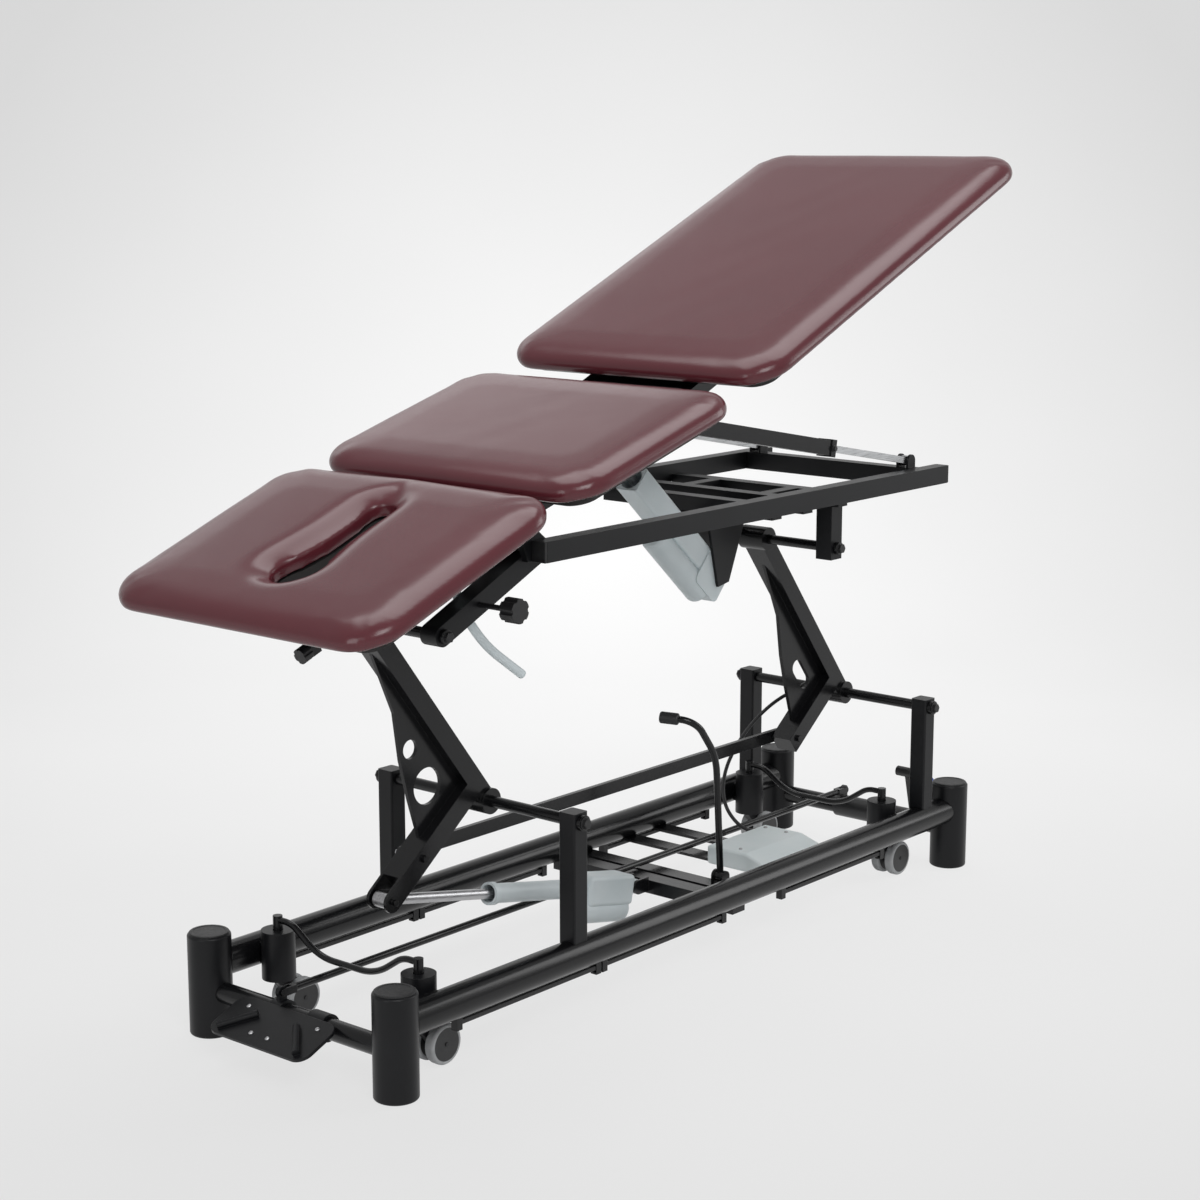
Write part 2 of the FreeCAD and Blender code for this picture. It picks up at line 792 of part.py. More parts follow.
def breathing_slot(grow, bottom, height):
    # Keyhole: a large round at the head end, a smaller one at the neck end and a drawn-in waist.
    big = slot_head_radius + grow
    small = slot_neck_radius + grow
    waist = 0.5 * (slot_head_end + slot_neck_end)
    pieces = [Part.makeCylinder(big, height, vec(slot_head_end, 0, bottom)),
              Part.makeCylinder(small, height, vec(slot_neck_end, 0, bottom))]
    half_waist = 0.78 * small
    head = [vec(slot_head_end, side * big, bottom) for side in (-1, 1)]
    neck = [vec(slot_neck_end, side * small, bottom) for side in (-1, 1)]
    mid = [vec(waist, side * half_waist, bottom) for side in (-1, 1)]
    edges = [Part.Arc(head[0], mid[0], neck[0]).toShape(), Part.LineSegment(neck[0], neck[1]).toShape(),
             Part.Arc(neck[1], mid[1], head[1]).toShape(), Part.LineSegment(head[1], head[0]).toShape()]
    pieces.append(Part.Face(Part.Wire(edges)).extrude(vec(0, 0, height)))
    return joined(pieces)


def side_tube(start, end, y, top):
    tube = hollow_bar(end - start, frame_tube_width, frame_tube_height, wall)
    tube.translate(vec(start, y, top - frame_tube_height / 2))
    return tube


def frame_cross(along, reach, top):
    half = frame_tube_width / 2
    return box(along - half, along + half, -reach, reach, top - frame_tube_height, top)


def hinge_eye(along, y):
    half = frame_tube_width / 2
    return pin(eye_diameter, along, 0, y - half, y + half)


def bored(shape, along, diameter):
    reach = cushion_width / 2
    return shape.cut(pin(diameter + 2 * running_clearance, along, 0, -reach, reach))


def middle_frame():
    y = middle_track / 2
    top = middle_lift
    half = frame_tube_width / 2
    pieces = []
    for side in (-1, 1):
        end = eye_diameter / 2 - 3
        pieces.append(side_tube(end, leg_hinge_along - end, side * y, top))
        pieces.append(hinge_eye(0, side * y))
        pieces.append(hinge_eye(leg_hinge_along, side * y))
        pieces.append(box(stay_along - 14, stay_along + 14, side * y - half, side * y + half,
                          -stay_drop, 0))
        pieces.append(pin(28.0, stay_along, -stay_drop, side * y - half, side * y + half))
        inner, outer = sorted((side * y, side * (stay_y + stay_tube_size / 2 + 3)))
        pieces.append(pin(stay_pin_diameter, stay_along, -stay_drop, inner, outer))
    reach = y - half
    for along in (100.0, tilt_lug_along - 170, tilt_lug_along):
        pieces.append(frame_cross(along, reach, top))
    for edge in (-1, 1):
        near, far = sorted((tilt_y + edge * 16, tilt_y + edge * 22))
        pieces.append(box(tilt_lug_along - 12, tilt_lug_along + 12, near, far, -tilt_lug_drop, top - 4))
        pieces.append(pin(24.0, tilt_lug_along, -tilt_lug_drop, near, far))
    pieces.append(pin(actuator_pin_diameter, tilt_lug_along, -tilt_lug_drop, tilt_y - 22, tilt_y + 22))
    frame = joined(pieces)
    frame = bored(frame, 0, hinge_shaft_diameter)
    shaft = pin(leg_shaft_diameter, leg_hinge_along, 0, -cushion_width, cushion_width)
    return middle_placed(frame.cut(shaft))


def leg_hinge_shaft():
    reach = middle_track / 2 + frame_tube_width / 2
    return middle_placed(pin(leg_shaft_diameter, leg_hinge_along, 0, -reach, reach))


def leg_frame():
    y = inner_track / 2
    top = leg_lift
    pieces = []
    for side in (-1, 1):
        pieces.append(side_tube(eye_diameter / 2 - 3, leg_cushion[1] - 190, side * y, top))
        pieces.append(hinge_eye(0, side * y))
    reach = y - frame_tube_width / 2
    for along in (70.0, 480.0, leg_cushion[1] - 205):
        pieces.append(frame_cross(along, reach, top))
    return leg_placed(bored(joined(pieces), 0, leg_shaft_diameter))


def end_knob_point(step):
    return vec(end_knob_along + step, end_knob_y, -end_knob_drop)


def head_frame():
    y = inner_track / 2
    top = head_lift
    pieces = []
    for side in (-1, 1):
        pieces.append(side_tube(end_knob_along - 12, -eye_diameter / 2 + 3, side * y, top))
        pieces.append(hinge_eye(0, side * y))
    reach = y - frame_tube_width / 2
    for along in (end_knob_along, -70.0):
        pieces.append(frame_cross(along, reach, top))
    spring_cross = box(head_spring_along - 10, head_spring_along + 10, slot_head_radius + 12, reach,
                       top - frame_tube_height, top)
    pieces.append(spring_cross)
    for edge in (-1, 1):
        near, far = sorted((head_spring_y + edge * 6, head_spring_y + edge * 11))
        pieces.append(box(head_spring_along - 9, head_spring_along + 9, near, far,
                          -head_spring_drop, top - 4))
        pieces.append(pin(18.0, head_spring_along, -head_spring_drop, near, far))
    pieces.append(pin(spring_pin_diameter, head_spring_along, -head_spring_drop,
                      head_spring_y - 11, head_spring_y + 11))
    lug_y = sorted((-y - frame_tube_width / 2, -y - frame_tube_width / 2 - lug_thickness))
    pieces.append(box(release_along - 15, release_along + 15, *lug_y, -release_drop - 12, top - 4))
    pieces.append(pin(8.0, release_along, -release_drop, lug_y[0] - 18, lug_y[1]))
    pieces.append(box(end_knob_along - 10, end_knob_along + 10, end_knob_y - 10, end_knob_y + 10,
                      -end_knob_drop - 10, top - frame_tube_height))
    frame = joined(pieces)
    hole = rod(8.0 + 2 * running_clearance, end_knob_point(-20), end_knob_point(20))
    return head_placed(bored(frame.cut(hole), 0, hinge_shaft_diameter))


def head_board():
    slot = breathing_slot(6.0, head_lift - 1, board_thickness + 2)
    return head_placed(board(head_cushion, head_lift).cut(slot))


def head_pad():
    bottom = head_lift + board_thickness
    pad = cushion(head_cushion, bottom)
    return head_placed(pad.cut(breathing_slot(0.0, bottom - 1, cushion_thickness + 2)))


def spring_parts(fixed, moving):
    dx = moving[0] - fixed[0]
    dz = moving[1] - fixed[1]
    return math.hypot(dx, dz), math.degrees(math.atan2(dz, dx))


def spring_cylinder(fixed, moving, y, share):
    length, angle = spring_parts(fixed, moving)
    reach = spring_eye_width / 2
    end = length * share
    body = rod(spring_diameter, vec(spring_eye / 2 + 4, 0, 0), vec(end, 0, 0))
    body = body.cut(rod(spring_bore, vec(spring_eye, 0, 0), vec(end + 1, 0, 0)))
    eye = pin(spring_eye, 0, 0, -reach, reach).fuse(box(0, spring_eye / 2 + 6, -reach, reach, -6, 6))
    hole = pin(spring_pin_diameter + 2 * running_clearance, 0, 0, -reach - 1, reach + 1)
    return placed(joined([body, eye]).cut(hole), fixed[0], fixed[1], angle, y)


def spring_rod(fixed, moving, y, share):
    length, angle = spring_parts(fixed, moving)
    reach = spring_eye_width / 2
    shaft = rod(spring_rod_diameter, vec(length * share, 0, 0), vec(length, 0, 0))
    shape = joined([shaft, pin(spring_eye, length, 0, -reach, reach)])
    hole = pin(spring_pin_diameter + 2 * running_clearance, length, 0, -reach - 1, reach + 1)
    return placed(shape.cut(hole), fixed[0], fixed[1], angle, y)


def head_spring_ends():
    return (head_spring_x, head_spring_height), on_head(head_spring_along, -head_spring_drop)


def tilt_axis():
    x, z = on_middle(tilt_lug_along, -tilt_lug_drop)
    return spring_parts((tilt_pin_x, tilt_pin_height), (x, z))


def tilt_placed(shape):
    return placed(shape, tilt_pin_x, tilt_pin_height, tilt_axis()[1], tilt_y)


def tilt_motor_barrel():
    # The motor lies along the underside of the tube; local +Z points down.
    return rod(tilt_motor_diameter, vec(0, 0, tilt_motor_drop), vec(tilt_motor_end, 0, tilt_motor_drop))


def tilt_motor():
    half = tilt_case_half
    case = box(-26, tilt_tube_start, -half, half, -30, tilt_motor_drop + 8)
    case = case.makeFillet(12.0, edges_along(case, vec(0, 1, 0)))
    motor = tilt_motor_barrel()
    motor = motor.makeFillet(9.0, [e for e in motor.Edges if len(e.Vertexes) == 1])
    shape = joined([case, motor])
    hole = pin(actuator_pin_diameter + 2 * running_clearance, 0, 0, -half - 1, half + 1)
    return tilt_placed(shape.cut(hole))


def tilt_tube():
    half = tilt_tube_size / 2
    tube = box(tilt_tube_start, tilt_tube_end, -half, half, -half, half)
    tube = tube.makeFillet(6.0, edges_along(tube, vec(1, 0, 0)))
    tube = tube.cut(rod(tilt_tube_bore, vec(tilt_tube_start, 0, 0), vec(tilt_tube_end + 1, 0, 0)))
    return tilt_placed(tube.cut(tilt_motor_barrel()))


def tilt_ram():
    length = tilt_axis()[0]
    shaft = rod(tilt_ram_diameter, vec(tilt_ram_start, 0, 0), vec(length, 0, 0))
    eye = pin(24.0, length, 0, -15, 15)
    hole = pin(actuator_pin_diameter + 2 * running_clearance, length, 0, -16, 16)
    return tilt_placed(joined([shaft, eye]).cut(hole))


def stay_axis():
    return spring_parts(on_middle(stay_along, -stay_drop), (stay_block_x, stay_pin_height))


def stay_placed(shape, side):
    x, z = on_middle(stay_along, -stay_drop)
    return placed(shape, x, z, stay_axis()[1], side * stay_y)


def stay_tubes():
    tubes = []
    for side in (-1, 1):
        half = stay_tube_size / 2
        bore = stay_tube_bore / 2
        shell = box(-half, stay_tube_length, -half, half, -half, half)
        shell = shell.fuse(box(stay_tube_length - 16, stay_tube_length, -stay_collar / 2, stay_collar / 2,
                               -stay_collar / 2, stay_collar / 2)).removeSplitter()
        shell = shell.cut(box(half, stay_tube_length + 1, -bore, bore, -bore, bore))
        shell = shell.cut(pin(stay_pin_diameter + 2 * running_clearance, 0, 0, -half - 1, half + 1))
        tubes.append(stay_placed(shell, side))
    return group(tubes)


def stay_bars():
    bars = []
    length = stay_axis()[0]
    for side in (-1, 1):
        half_y = stay_bar_width / 2
        half_z = stay_bar_height / 2
        bar = box(length - stay_bar_length, length, -half_y, half_y, -half_z, half_z)
        bar = bar.fuse(pin(22.0, length, 0, -half_y, half_y)).removeSplitter()
        hole = pin(stay_pin_diameter + 2 * running_clearance, length, 0, -half_y - 1, half_y + 1)
        bars.append(stay_placed(bar.cut(hole), side))
    return group(bars)


def release_lever():
    # Bent handle hung from the head frame on a cross pin.
    y = -inner_track / 2 - frame_tube_width / 2 - lug_thickness - 10
    x, z = on_head(release_along, -release_drop)
    points = [vec(x, y, z), vec(x + 23, y, z - 66), vec(x + 84, y, z - 140), vec(x + 180, y, z - 208)]
    handle = tube_along(points, release_diameter)
    half = release_diameter / 2 + 0.7
    hub = pin(24.0, x, z, y - half, y + half)
    return joined([handle, hub]).cut(pin(8.0 + 2 * running_clearance, x, z, y - 10, y + 10))


def lobed_knob(diameter, depth, lobes):
    # Round knob with scalloped grip, drawn along +Z.
    body = Part.makeCylinder(diameter / 2, depth)
    for index in range(lobes):
        a = 2 * math.pi * index / lobes
        middle = vec(math.cos(a), math.sin(a), 0) * (0.56 * diameter)
        body = body.cut(Part.makeCylinder(diameter * 0.13, depth, middle))
    return body


def clamp_knob():
    x, z = clamp_point()
    inner = -hanger_y + hanger_size / 2
    outer = -hanger_y - hanger_size / 2 - clamp_reach
    screw = pin(10.0, x, z, outer, inner)
    knob = lobed_knob(44.0, 30.0, 6)
    knob.Placement = FreeCAD.Placement(vec(x, outer, z), FreeCAD.Rotation(vec(1, 0, 0), 90))
    return joined([screw, knob])


def end_knob():
    start = end_knob_point(-10 - side_gap)
    stub = rod(8.0, start, end_knob_point(14))
    knob = lobed_knob(28.0, 20.0, 5)
    knob.Placement = FreeCAD.Placement(start, FreeCAD.Rotation(vec(0, 1, 0), -90))
    return head_placed(joined([stub, knob]))


def pedal_hub(x, y0, y1):
    return pin(pedal_sleeve, x, cross_tube_height, y0, y1)


def pedal_lug(x):
    half = pedal_lug_half
    lug = box(x - 9, x + 9, link_y - half, link_y + half, cross_tube_height, link_height)
    lug = lug.fuse(pin(22.0, x, link_height, link_y - half, link_y + half))
    return lug.fuse(pedal_hub(x, link_y - 14, link_y + 14))


def pedal_bored(shape, x):
    bore = cross_tube_diameter + 2 * running_clearance
    pin_hole = pedal_pin_diameter + 2 * pedal_pin_play
    shape = shape.cut(pin(bore, x, cross_tube_height, -foot_y, foot_y))
    return shape.cut(pin(pin_hole, x, link_height, link_y - 20, link_y + 20))


def head_pedal():
    # Sloping tread plate with round corners and two splayed tread bars.
    x = foot_xs[0]
    width = pedal_side[1] - pedal_side[0]
    middle = 0.5 * (pedal_side[0] + pedal_side[1])
    outline = rounded_outline(-pedal_reach, 0.0, width, pedal_corner, -3.0)
    tread = Part.Face(outline).extrude(vec(0, 0, 6.0))
    bars = []
    for side in (-1, 1):
        start = vec(-pedal_reach + 12, side * (width / 2 - 22), 7)
        bars.append(rod(14.0, start, vec(-34, side * (width / 2 - 74), 7)))
    ledge = placed(joined([tread] + bars), x - 16, cross_tube_height + 17, 22.0, middle)
    hubs = [pedal_hub(x, -75, -35), pedal_lug(x)]
    return pedal_bored(joined([ledge] + hubs), x)


def foot_pedal():
    # Rocker with an inboard tread bar and an outboard round button.
    x = foot_xs[1]
    y = -150.0
    pieces = [pedal_hub(x, y - 16, y + 16), pedal_lug(x)]
    pieces.append(rod(24.0, vec(x, y, cross_tube_height), vec(x, link_y, cross_tube_height)))
    pieces.append(pedal_hub(x, y, link_y))
    for dx, dz in ((-34.0, 118.0), (50.0, 76.0)):
        top = cross_tube_height + dz
        arm = plate(((x - 12, cross_tube_height), (x + 12, cross_tube_height), (x + dx + 8, top),
                     (x + dx - 8, top)), y - 5, y + 5)
        pieces.append(arm)
    pieces.append(pin(22.0, x - 34.0, cross_tube_height + 120.0, y - 28, y + 28))
    pieces.append(Part.makeSphere(13.0, vec(x + 52.0, y, cross_tube_height + 80.0)))
    return pedal_bored(joined(pieces), x)


def link_rod():
    half = pedal_lug_half + slip_gap
    ends = (vec(foot_xs[0] + 24, link_y, link_height), vec(foot_xs[1] - 24, link_y, link_height))
    pieces = [rod(link_diameter, *ends)]
    for x, inward in ((foot_xs[0], 1), (foot_xs[1], -1)):
        x0, x1 = sorted((x, x + inward * 30))
        for edge in (-1, 1):
            near, far = sorted((link_y + edge * half, link_y + edge * (half + 4)))
            pieces.append(box(x0, x1, near, far, link_height - 7, link_height + 7))
            pieces.append(pin(14.0, x, link_height, near, far))
        cap0, cap1 = sorted((x + inward * 20, x + inward * 30))
        side = half + 4
        pieces.append(box(cap0, cap1, link_y - side, link_y + side, link_height - 7, link_height + 7))
        pieces.append(pin(pedal_pin_diameter, x, link_height, link_y - side, link_y + side))
    return joined(pieces)


def lever_points():
    # Upright stem, bent towards the head end near its top, then across to the grip.
    foot = vec(lever_x, lever_y, lever_pin_height)
    rise = lever_top - lever_pin_height
    knee = foot + vec(-12, 0, 0.53 * rise)
    bend = foot + vec(-18, 0, 0.75 * rise)
    tip = foot + vec(-84, 0, rise)
    return [foot, knee, bend, tip, tip + grip_run]


def hand_lever():
    stem = tube_along(lever_points(), lever_diameter)
    half = lever_diameter / 2 + 0.5
    hub = pin(22.0, lever_x, lever_pin_height, lever_y - half, lever_y + half)
    hole = pin(8.0 + 2 * running_clearance, lever_x, lever_pin_height, lever_y - 20, lever_y + 20)
    return joined([stem, hub]).cut(hole)


def lever_grip():
    end = lever_points()[-1]
    start = end - grip_run * 0.5
    cap = grip_run * 0.05
    grip = rod(grip_diameter, start, end + cap)
    grip = grip.makeFillet(4.0, [e for e in grip.Edges if len(e.Vertexes) == 1])
    return grip.cut(rod(lever_diameter, start - cap, end))


def castor_spots():
    return [(x, y) for x in (castor_head_x, castor_foot_x) for y in (-castor_y, castor_y)]


def castor_housings():
    shapes = []
    for x, y in castor_spots():
        side = 1 if y > 0 else -1
        height = housing_top - housing_bottom
        shell = Part.makeCylinder(housing_diameter / 2, height, vec(x, y, housing_bottom))
        near, far = sorted((y, side * foot_y))
        arm = box(x - 15, x + 15, near, far, rail_height - 20, rail_height + 20)
        shell = shell.fuse(arm).removeSplitter()
        for body in rail_bodies():
            shell = shell.cut(body)
        shell = shell.cut(Part.makeCylinder(stem_diameter / 2 + stem_clearance, height - housing_cap,
                                            vec(x, y, housing_bottom)))
        neck = Part.makeCylinder(neck_diameter / 2 + 1, height + 1, vec(x, y, housing_bottom))
        shapes.append(shell.cut(neck))
    return group(shapes)


def castor_carrier(x):
    # Two stems that slide in the housings; their necks are tied over the top by a dropped bar.
    points = []
    for side in (-1, 1):
        branch = [vec(x, side * castor_y, carrier_top), vec(x, side * carrier_shoulder, carrier_top),
                  vec(x, side * carrier_half_span, carrier_low)]
        points += branch[::-side]
    pieces = [tube_along(points, carrier_rod_diameter)]
    for y in (-castor_y, castor_y):
        foot = vec(x, y, housing_bottom + 6)
        pieces.append(Part.makeCylinder(stem_diameter / 2, stem_height, foot))
        neck_height = carrier_top + carrier_rod_diameter / 2 + 2 - foot.z
        pieces.append(Part.makeCylinder(neck_diameter / 2, neck_height, foot))
    carrier = joined(pieces)
    for y in (-castor_y, castor_y):
        carrier = carrier.cut(Part.makeCylinder(swivel_pin_diameter / 2 + running_clearance, 40.0,
                                                vec(x, y, housing_bottom + 5)))
    return carrier


def castor_fork(x, y):
    crown_top = housing_bottom + 5.7
    crown = Part.makeCylinder(18.0, 7.0, vec(x, y, crown_top - 7))
    swivel = Part.makeCylinder(swivel_pin_diameter / 2, 36.0, vec(x, y, crown_top - 1))
    half = fork_thickness / 2
    axle_x = x + castor_trail
    web = plate(((x - 16, crown_top - 5), (x + 18, crown_top - 5), (axle_x + 16, wheel_height + 4),
                 (axle_x, wheel_height - 14), (axle_x - 14, wheel_height - 4)), y - half, y + half)
    reach = half + wheel_width + 2
    axle = pin(axle_diameter, axle_x, wheel_height, y - reach, y + reach)
    return joined([crown, swivel, web, axle])


def castor_wheels(x, y):
    axle_x = x + castor_trail
    half = fork_thickness / 2 + side_gap / 2
    wheels = []
    for side in (-1, 1):
        near, far = sorted((y + side * half, y + side * (half + wheel_width)))
        wheel = pin(wheel_diameter, axle_x, wheel_height, near, far)
        wheel = wheel.makeFillet(5.0, [e for e in wheel.Edges if len(e.Vertexes) == 1])
        bore = axle_diameter + 2 * running_clearance
        wheels.append(wheel.cut(pin(bore, axle_x, wheel_height, near, far)))
    return group(wheels)


def control_box():
    top = tray_top + box_height
    y0, y1 = box_y
    outline = [vec(box_x[0], y0, tray_top), vec(box_x[0], y1, tray_top), vec(box_x[0], y1, top),
               vec(box_x[0], y0 + 46, top), vec(box_x[0], y0, top - 14)]
    face = Part.Face(Part.makePolygon(outline + outline[:1]))
    shape = face.extrude(vec(box_x[1] - box_x[0], 0, 0))
    return shape.makeFillet(box_edge, shape.Edges)


def lead(name, points):
    radii = []
    for before, corner, after in zip(points, points[1:], points[2:]):
        run_in = before - corner
        run_out = after - corner
        reach = 0.45 * min(run_in.Length, run_out.Length)
        radii.append(round(reach * math.tan(run_in.getAngle(run_out) / 2), 1))
    print(name, "bend radii", radii)
    return tube_along(points, lead_diameter)


def between(start, end, shares):
    # Points at given shares of the way from start to end in X, Y and Z.
    way = end - start
    return [start + vec(way.x * sx, way.y * sy, way.z * sz) for sx, sy, sz in shares]


def base_lead():
    # Out of the control box, under the tie rod, then up to the foot pivot shaft.
    start = vec(box_x[1] - 30, box_y[1] + slip_gap, tray_top + 0.7 * box_height)
    end = vec(foot_pivot_x - 40, sleeve_length / 2 + 21, pivot_height + 12)
    shares = ((0, 0, 0), (0, 0.36, 0), (0.014, 0.77, 0.053), (0.055, 1.16, 0.137), (0.124, 1.45, 0.252),
              (0.22, 1.62, 0.389), (0.338, 1.67, 0.526), (0.469, 1.645, 0.656), (0.607, 1.55, 0.778),
              (0.752, 1.38, 0.885), (0.89, 1.185, 0.953), (1, 1, 1))
    return lead("base_lead", between(start, end, shares))


def arm_lead():
    # Along the far face of the foot arm in one slow bow, from the lower to the upper shaft.
    y = arm_width / 2 + lead_diameter / 2 + slip_gap
    first = sleeve_diameter / 2 + 15
    last = arm_length - sleeve_diameter
    runs = 8
    points = []
    for step in range(runs + 1):
        share = step / runs
        bow = arm_depth * 0.8 * share * (1 - share)
        x, z = on_arm(foot_pivot_x, first + share * (last - first), bow)
        points.append(vec(x, y, z))
    return lead("arm_lead", points)


def top_lead():
    # From the upper shaft of the foot arm to the side of the tilt bracket.
    y = tilt_y + tilt_plate_y + lug_thickness + lead_diameter / 2 + slip_gap
    start = vec(foot_pivot_x + top_pivot_dx - 36, sleeve_length / 2 + 6, top_pivot_height + 22)
    end = vec(tilt_pin_x + 33, y, tilt_pin_height + 89)
    shares = ((0, 0, 0), (0.242, 0.24, -0.47), (0.516, 0.6, -0.42), (0.774, 1, 0.158), (1, 1, 1))
    return lead("top_lead", between(start, end, shares))


def build():
    castors = castor_spots()
    names = ("head_near", "head_far", "foot_near", "foot_far")
    parts = {
        "feet": group(foot_tubes()),
        "near_base_rail": base_rail(-1),
        "far_base_rail": base_rail(1),
        "base_cross_members": base_cross_members(),
        "pivot_posts": pivot_posts(),
        "pivot_shafts": pivot_shafts(),
        "control_box": control_box(),
        "castor_housings": castor_housings(),
        "head_lift_arm": head_lift_arm(),
        "foot_lift_arm": foot_lift_arm(),
        "tie_rod": tie_rod(),
        "lift_motor": lift_motor(),
        "lift_tube": lift_tube(),
        "lift_ram": lift_ram(),
        "top_rails": top_rails(),
        "rail_caps": rail_caps(),
        "top_cross_members": top_cross_members(),
        "tilt_bracket": tilt_bracket(),
        "top_hangers": top_hangers(),
        "top_shafts": top_shafts(),
        "tilt_motor": tilt_motor(),
        "tilt_tube": tilt_tube(),
        "tilt_ram": tilt_ram(),
        "stay_tubes": stay_tubes(),
        "stay_bars": stay_bars(),
        "middle_frame": middle_frame(),
        "middle_board": middle_placed(board(middle_cushion, middle_lift)),
        "middle_cushion": middle_placed(cushion(middle_cushion, middle_lift + board_thickness)),
        "leg_hinge_shaft": leg_hinge_shaft(),
        "leg_frame": leg_frame(),
        "leg_board": leg_placed(board(leg_cushion, leg_lift)),
        "leg_cushion": leg_placed(cushion(leg_cushion, leg_lift + board_thickness)),
        "head_frame": head_frame(),
        "head_board": head_board(),
        "head_cushion": head_pad(),
        "head_spring_cylinder": spring_cylinder(*head_spring_ends(), head_spring_y, 0.62),
        "head_spring_rod": spring_rod(*head_spring_ends(), head_spring_y, 0.45),
        "release_lever": release_lever(),
        "clamp_knob": clamp_knob(),
        "end_knob": end_knob(),
        "head_pedal": head_pedal(),
        "foot_pedal": foot_pedal(),
        "link_rod": link_rod(),
        "hand_lever": hand_lever(),
        "lever_grip": lever_grip(),
        "near_switch_bars": switch_bar(-1),
        "far_switch_bars": switch_bar(1),
        "head_castor_carrier": castor_carrier(castor_head_x),
        "foot_castor_carrier": castor_carrier(castor_foot_x),
        "base_lead": base_lead(),
        "arm_lead": arm_lead(),
        "top_lead": top_lead(),
    }
    for name, (x, y) in zip(names, castors):
        parts[name + "_fork"] = castor_fork(x, y)
        parts[name + "_wheels"] = castor_wheels(x, y)
    return parts


os.makedirs("parts", exist_ok=True)
nodes = build()
whole = Part.makeCompound(list(nodes.values())).optimalBoundingBox(False, False)
centre_shift = -0.5 * (whole.XMin + whole.XMax)
print("centre shift", round(centre_shift, 4))
for node, shape in nodes.items():
    shape.translate(vec(centre_shift, 0, 0))
    shape.exportStep(os.path.join("parts", node + ".step"))
    limits = shape.BoundBox
    corners = (limits.XMin, limits.XMax, limits.YMin, limits.YMax, limits.ZMin, limits.ZMax)
    print(node, len(shape.Solids), shape.isValid(), [round(value, 1) for value in corners])
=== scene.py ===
import bmesh
import bpy
import json
import math
import numpy as np
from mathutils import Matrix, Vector


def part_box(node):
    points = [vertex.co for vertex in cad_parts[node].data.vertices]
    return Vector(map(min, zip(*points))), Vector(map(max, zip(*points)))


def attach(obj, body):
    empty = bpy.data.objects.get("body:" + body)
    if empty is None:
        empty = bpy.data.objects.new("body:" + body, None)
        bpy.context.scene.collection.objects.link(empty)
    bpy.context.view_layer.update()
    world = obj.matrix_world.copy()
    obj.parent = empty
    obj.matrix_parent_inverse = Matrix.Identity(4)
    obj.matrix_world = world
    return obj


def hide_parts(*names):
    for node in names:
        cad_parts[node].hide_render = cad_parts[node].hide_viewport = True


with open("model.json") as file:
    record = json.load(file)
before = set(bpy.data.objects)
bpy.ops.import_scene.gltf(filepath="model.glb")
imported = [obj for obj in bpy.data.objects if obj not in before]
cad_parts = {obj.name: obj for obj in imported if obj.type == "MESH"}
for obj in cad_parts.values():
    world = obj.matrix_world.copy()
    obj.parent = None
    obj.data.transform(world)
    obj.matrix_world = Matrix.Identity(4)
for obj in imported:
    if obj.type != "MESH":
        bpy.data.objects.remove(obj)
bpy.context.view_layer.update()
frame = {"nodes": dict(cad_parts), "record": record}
nodes = frame["nodes"]
scene = bpy.context.scene
print("stage: frame loaded")

# Camera, level, at the photo's angle and distance
cameraLook = {"place": (-3.5313, -2.9655, 1.600), "heading": 40.21, "dip": 10.95, "lens": 71.55}


def addCamera(look):
    data = bpy.data.cameras.new("photoCamera")
    data.lens = look["lens"]
    data.sensor_width = 36.0
    data.clip_end = 60.0
    camera = bpy.data.objects.new("photoCamera", data)
    scene.collection.objects.link(camera)
    heading = math.radians(look["heading"])
    dip = math.radians(look["dip"])
    camera.location = look["place"]
    camera.rotation_euler = (math.pi / 2 - dip, 0.0, heading - math.pi / 2)
    scene.camera = camera


addCamera(cameraLook)
scene.view_settings.view_transform = "Standard"
scene.view_settings.look = "None"
print("stage: camera")


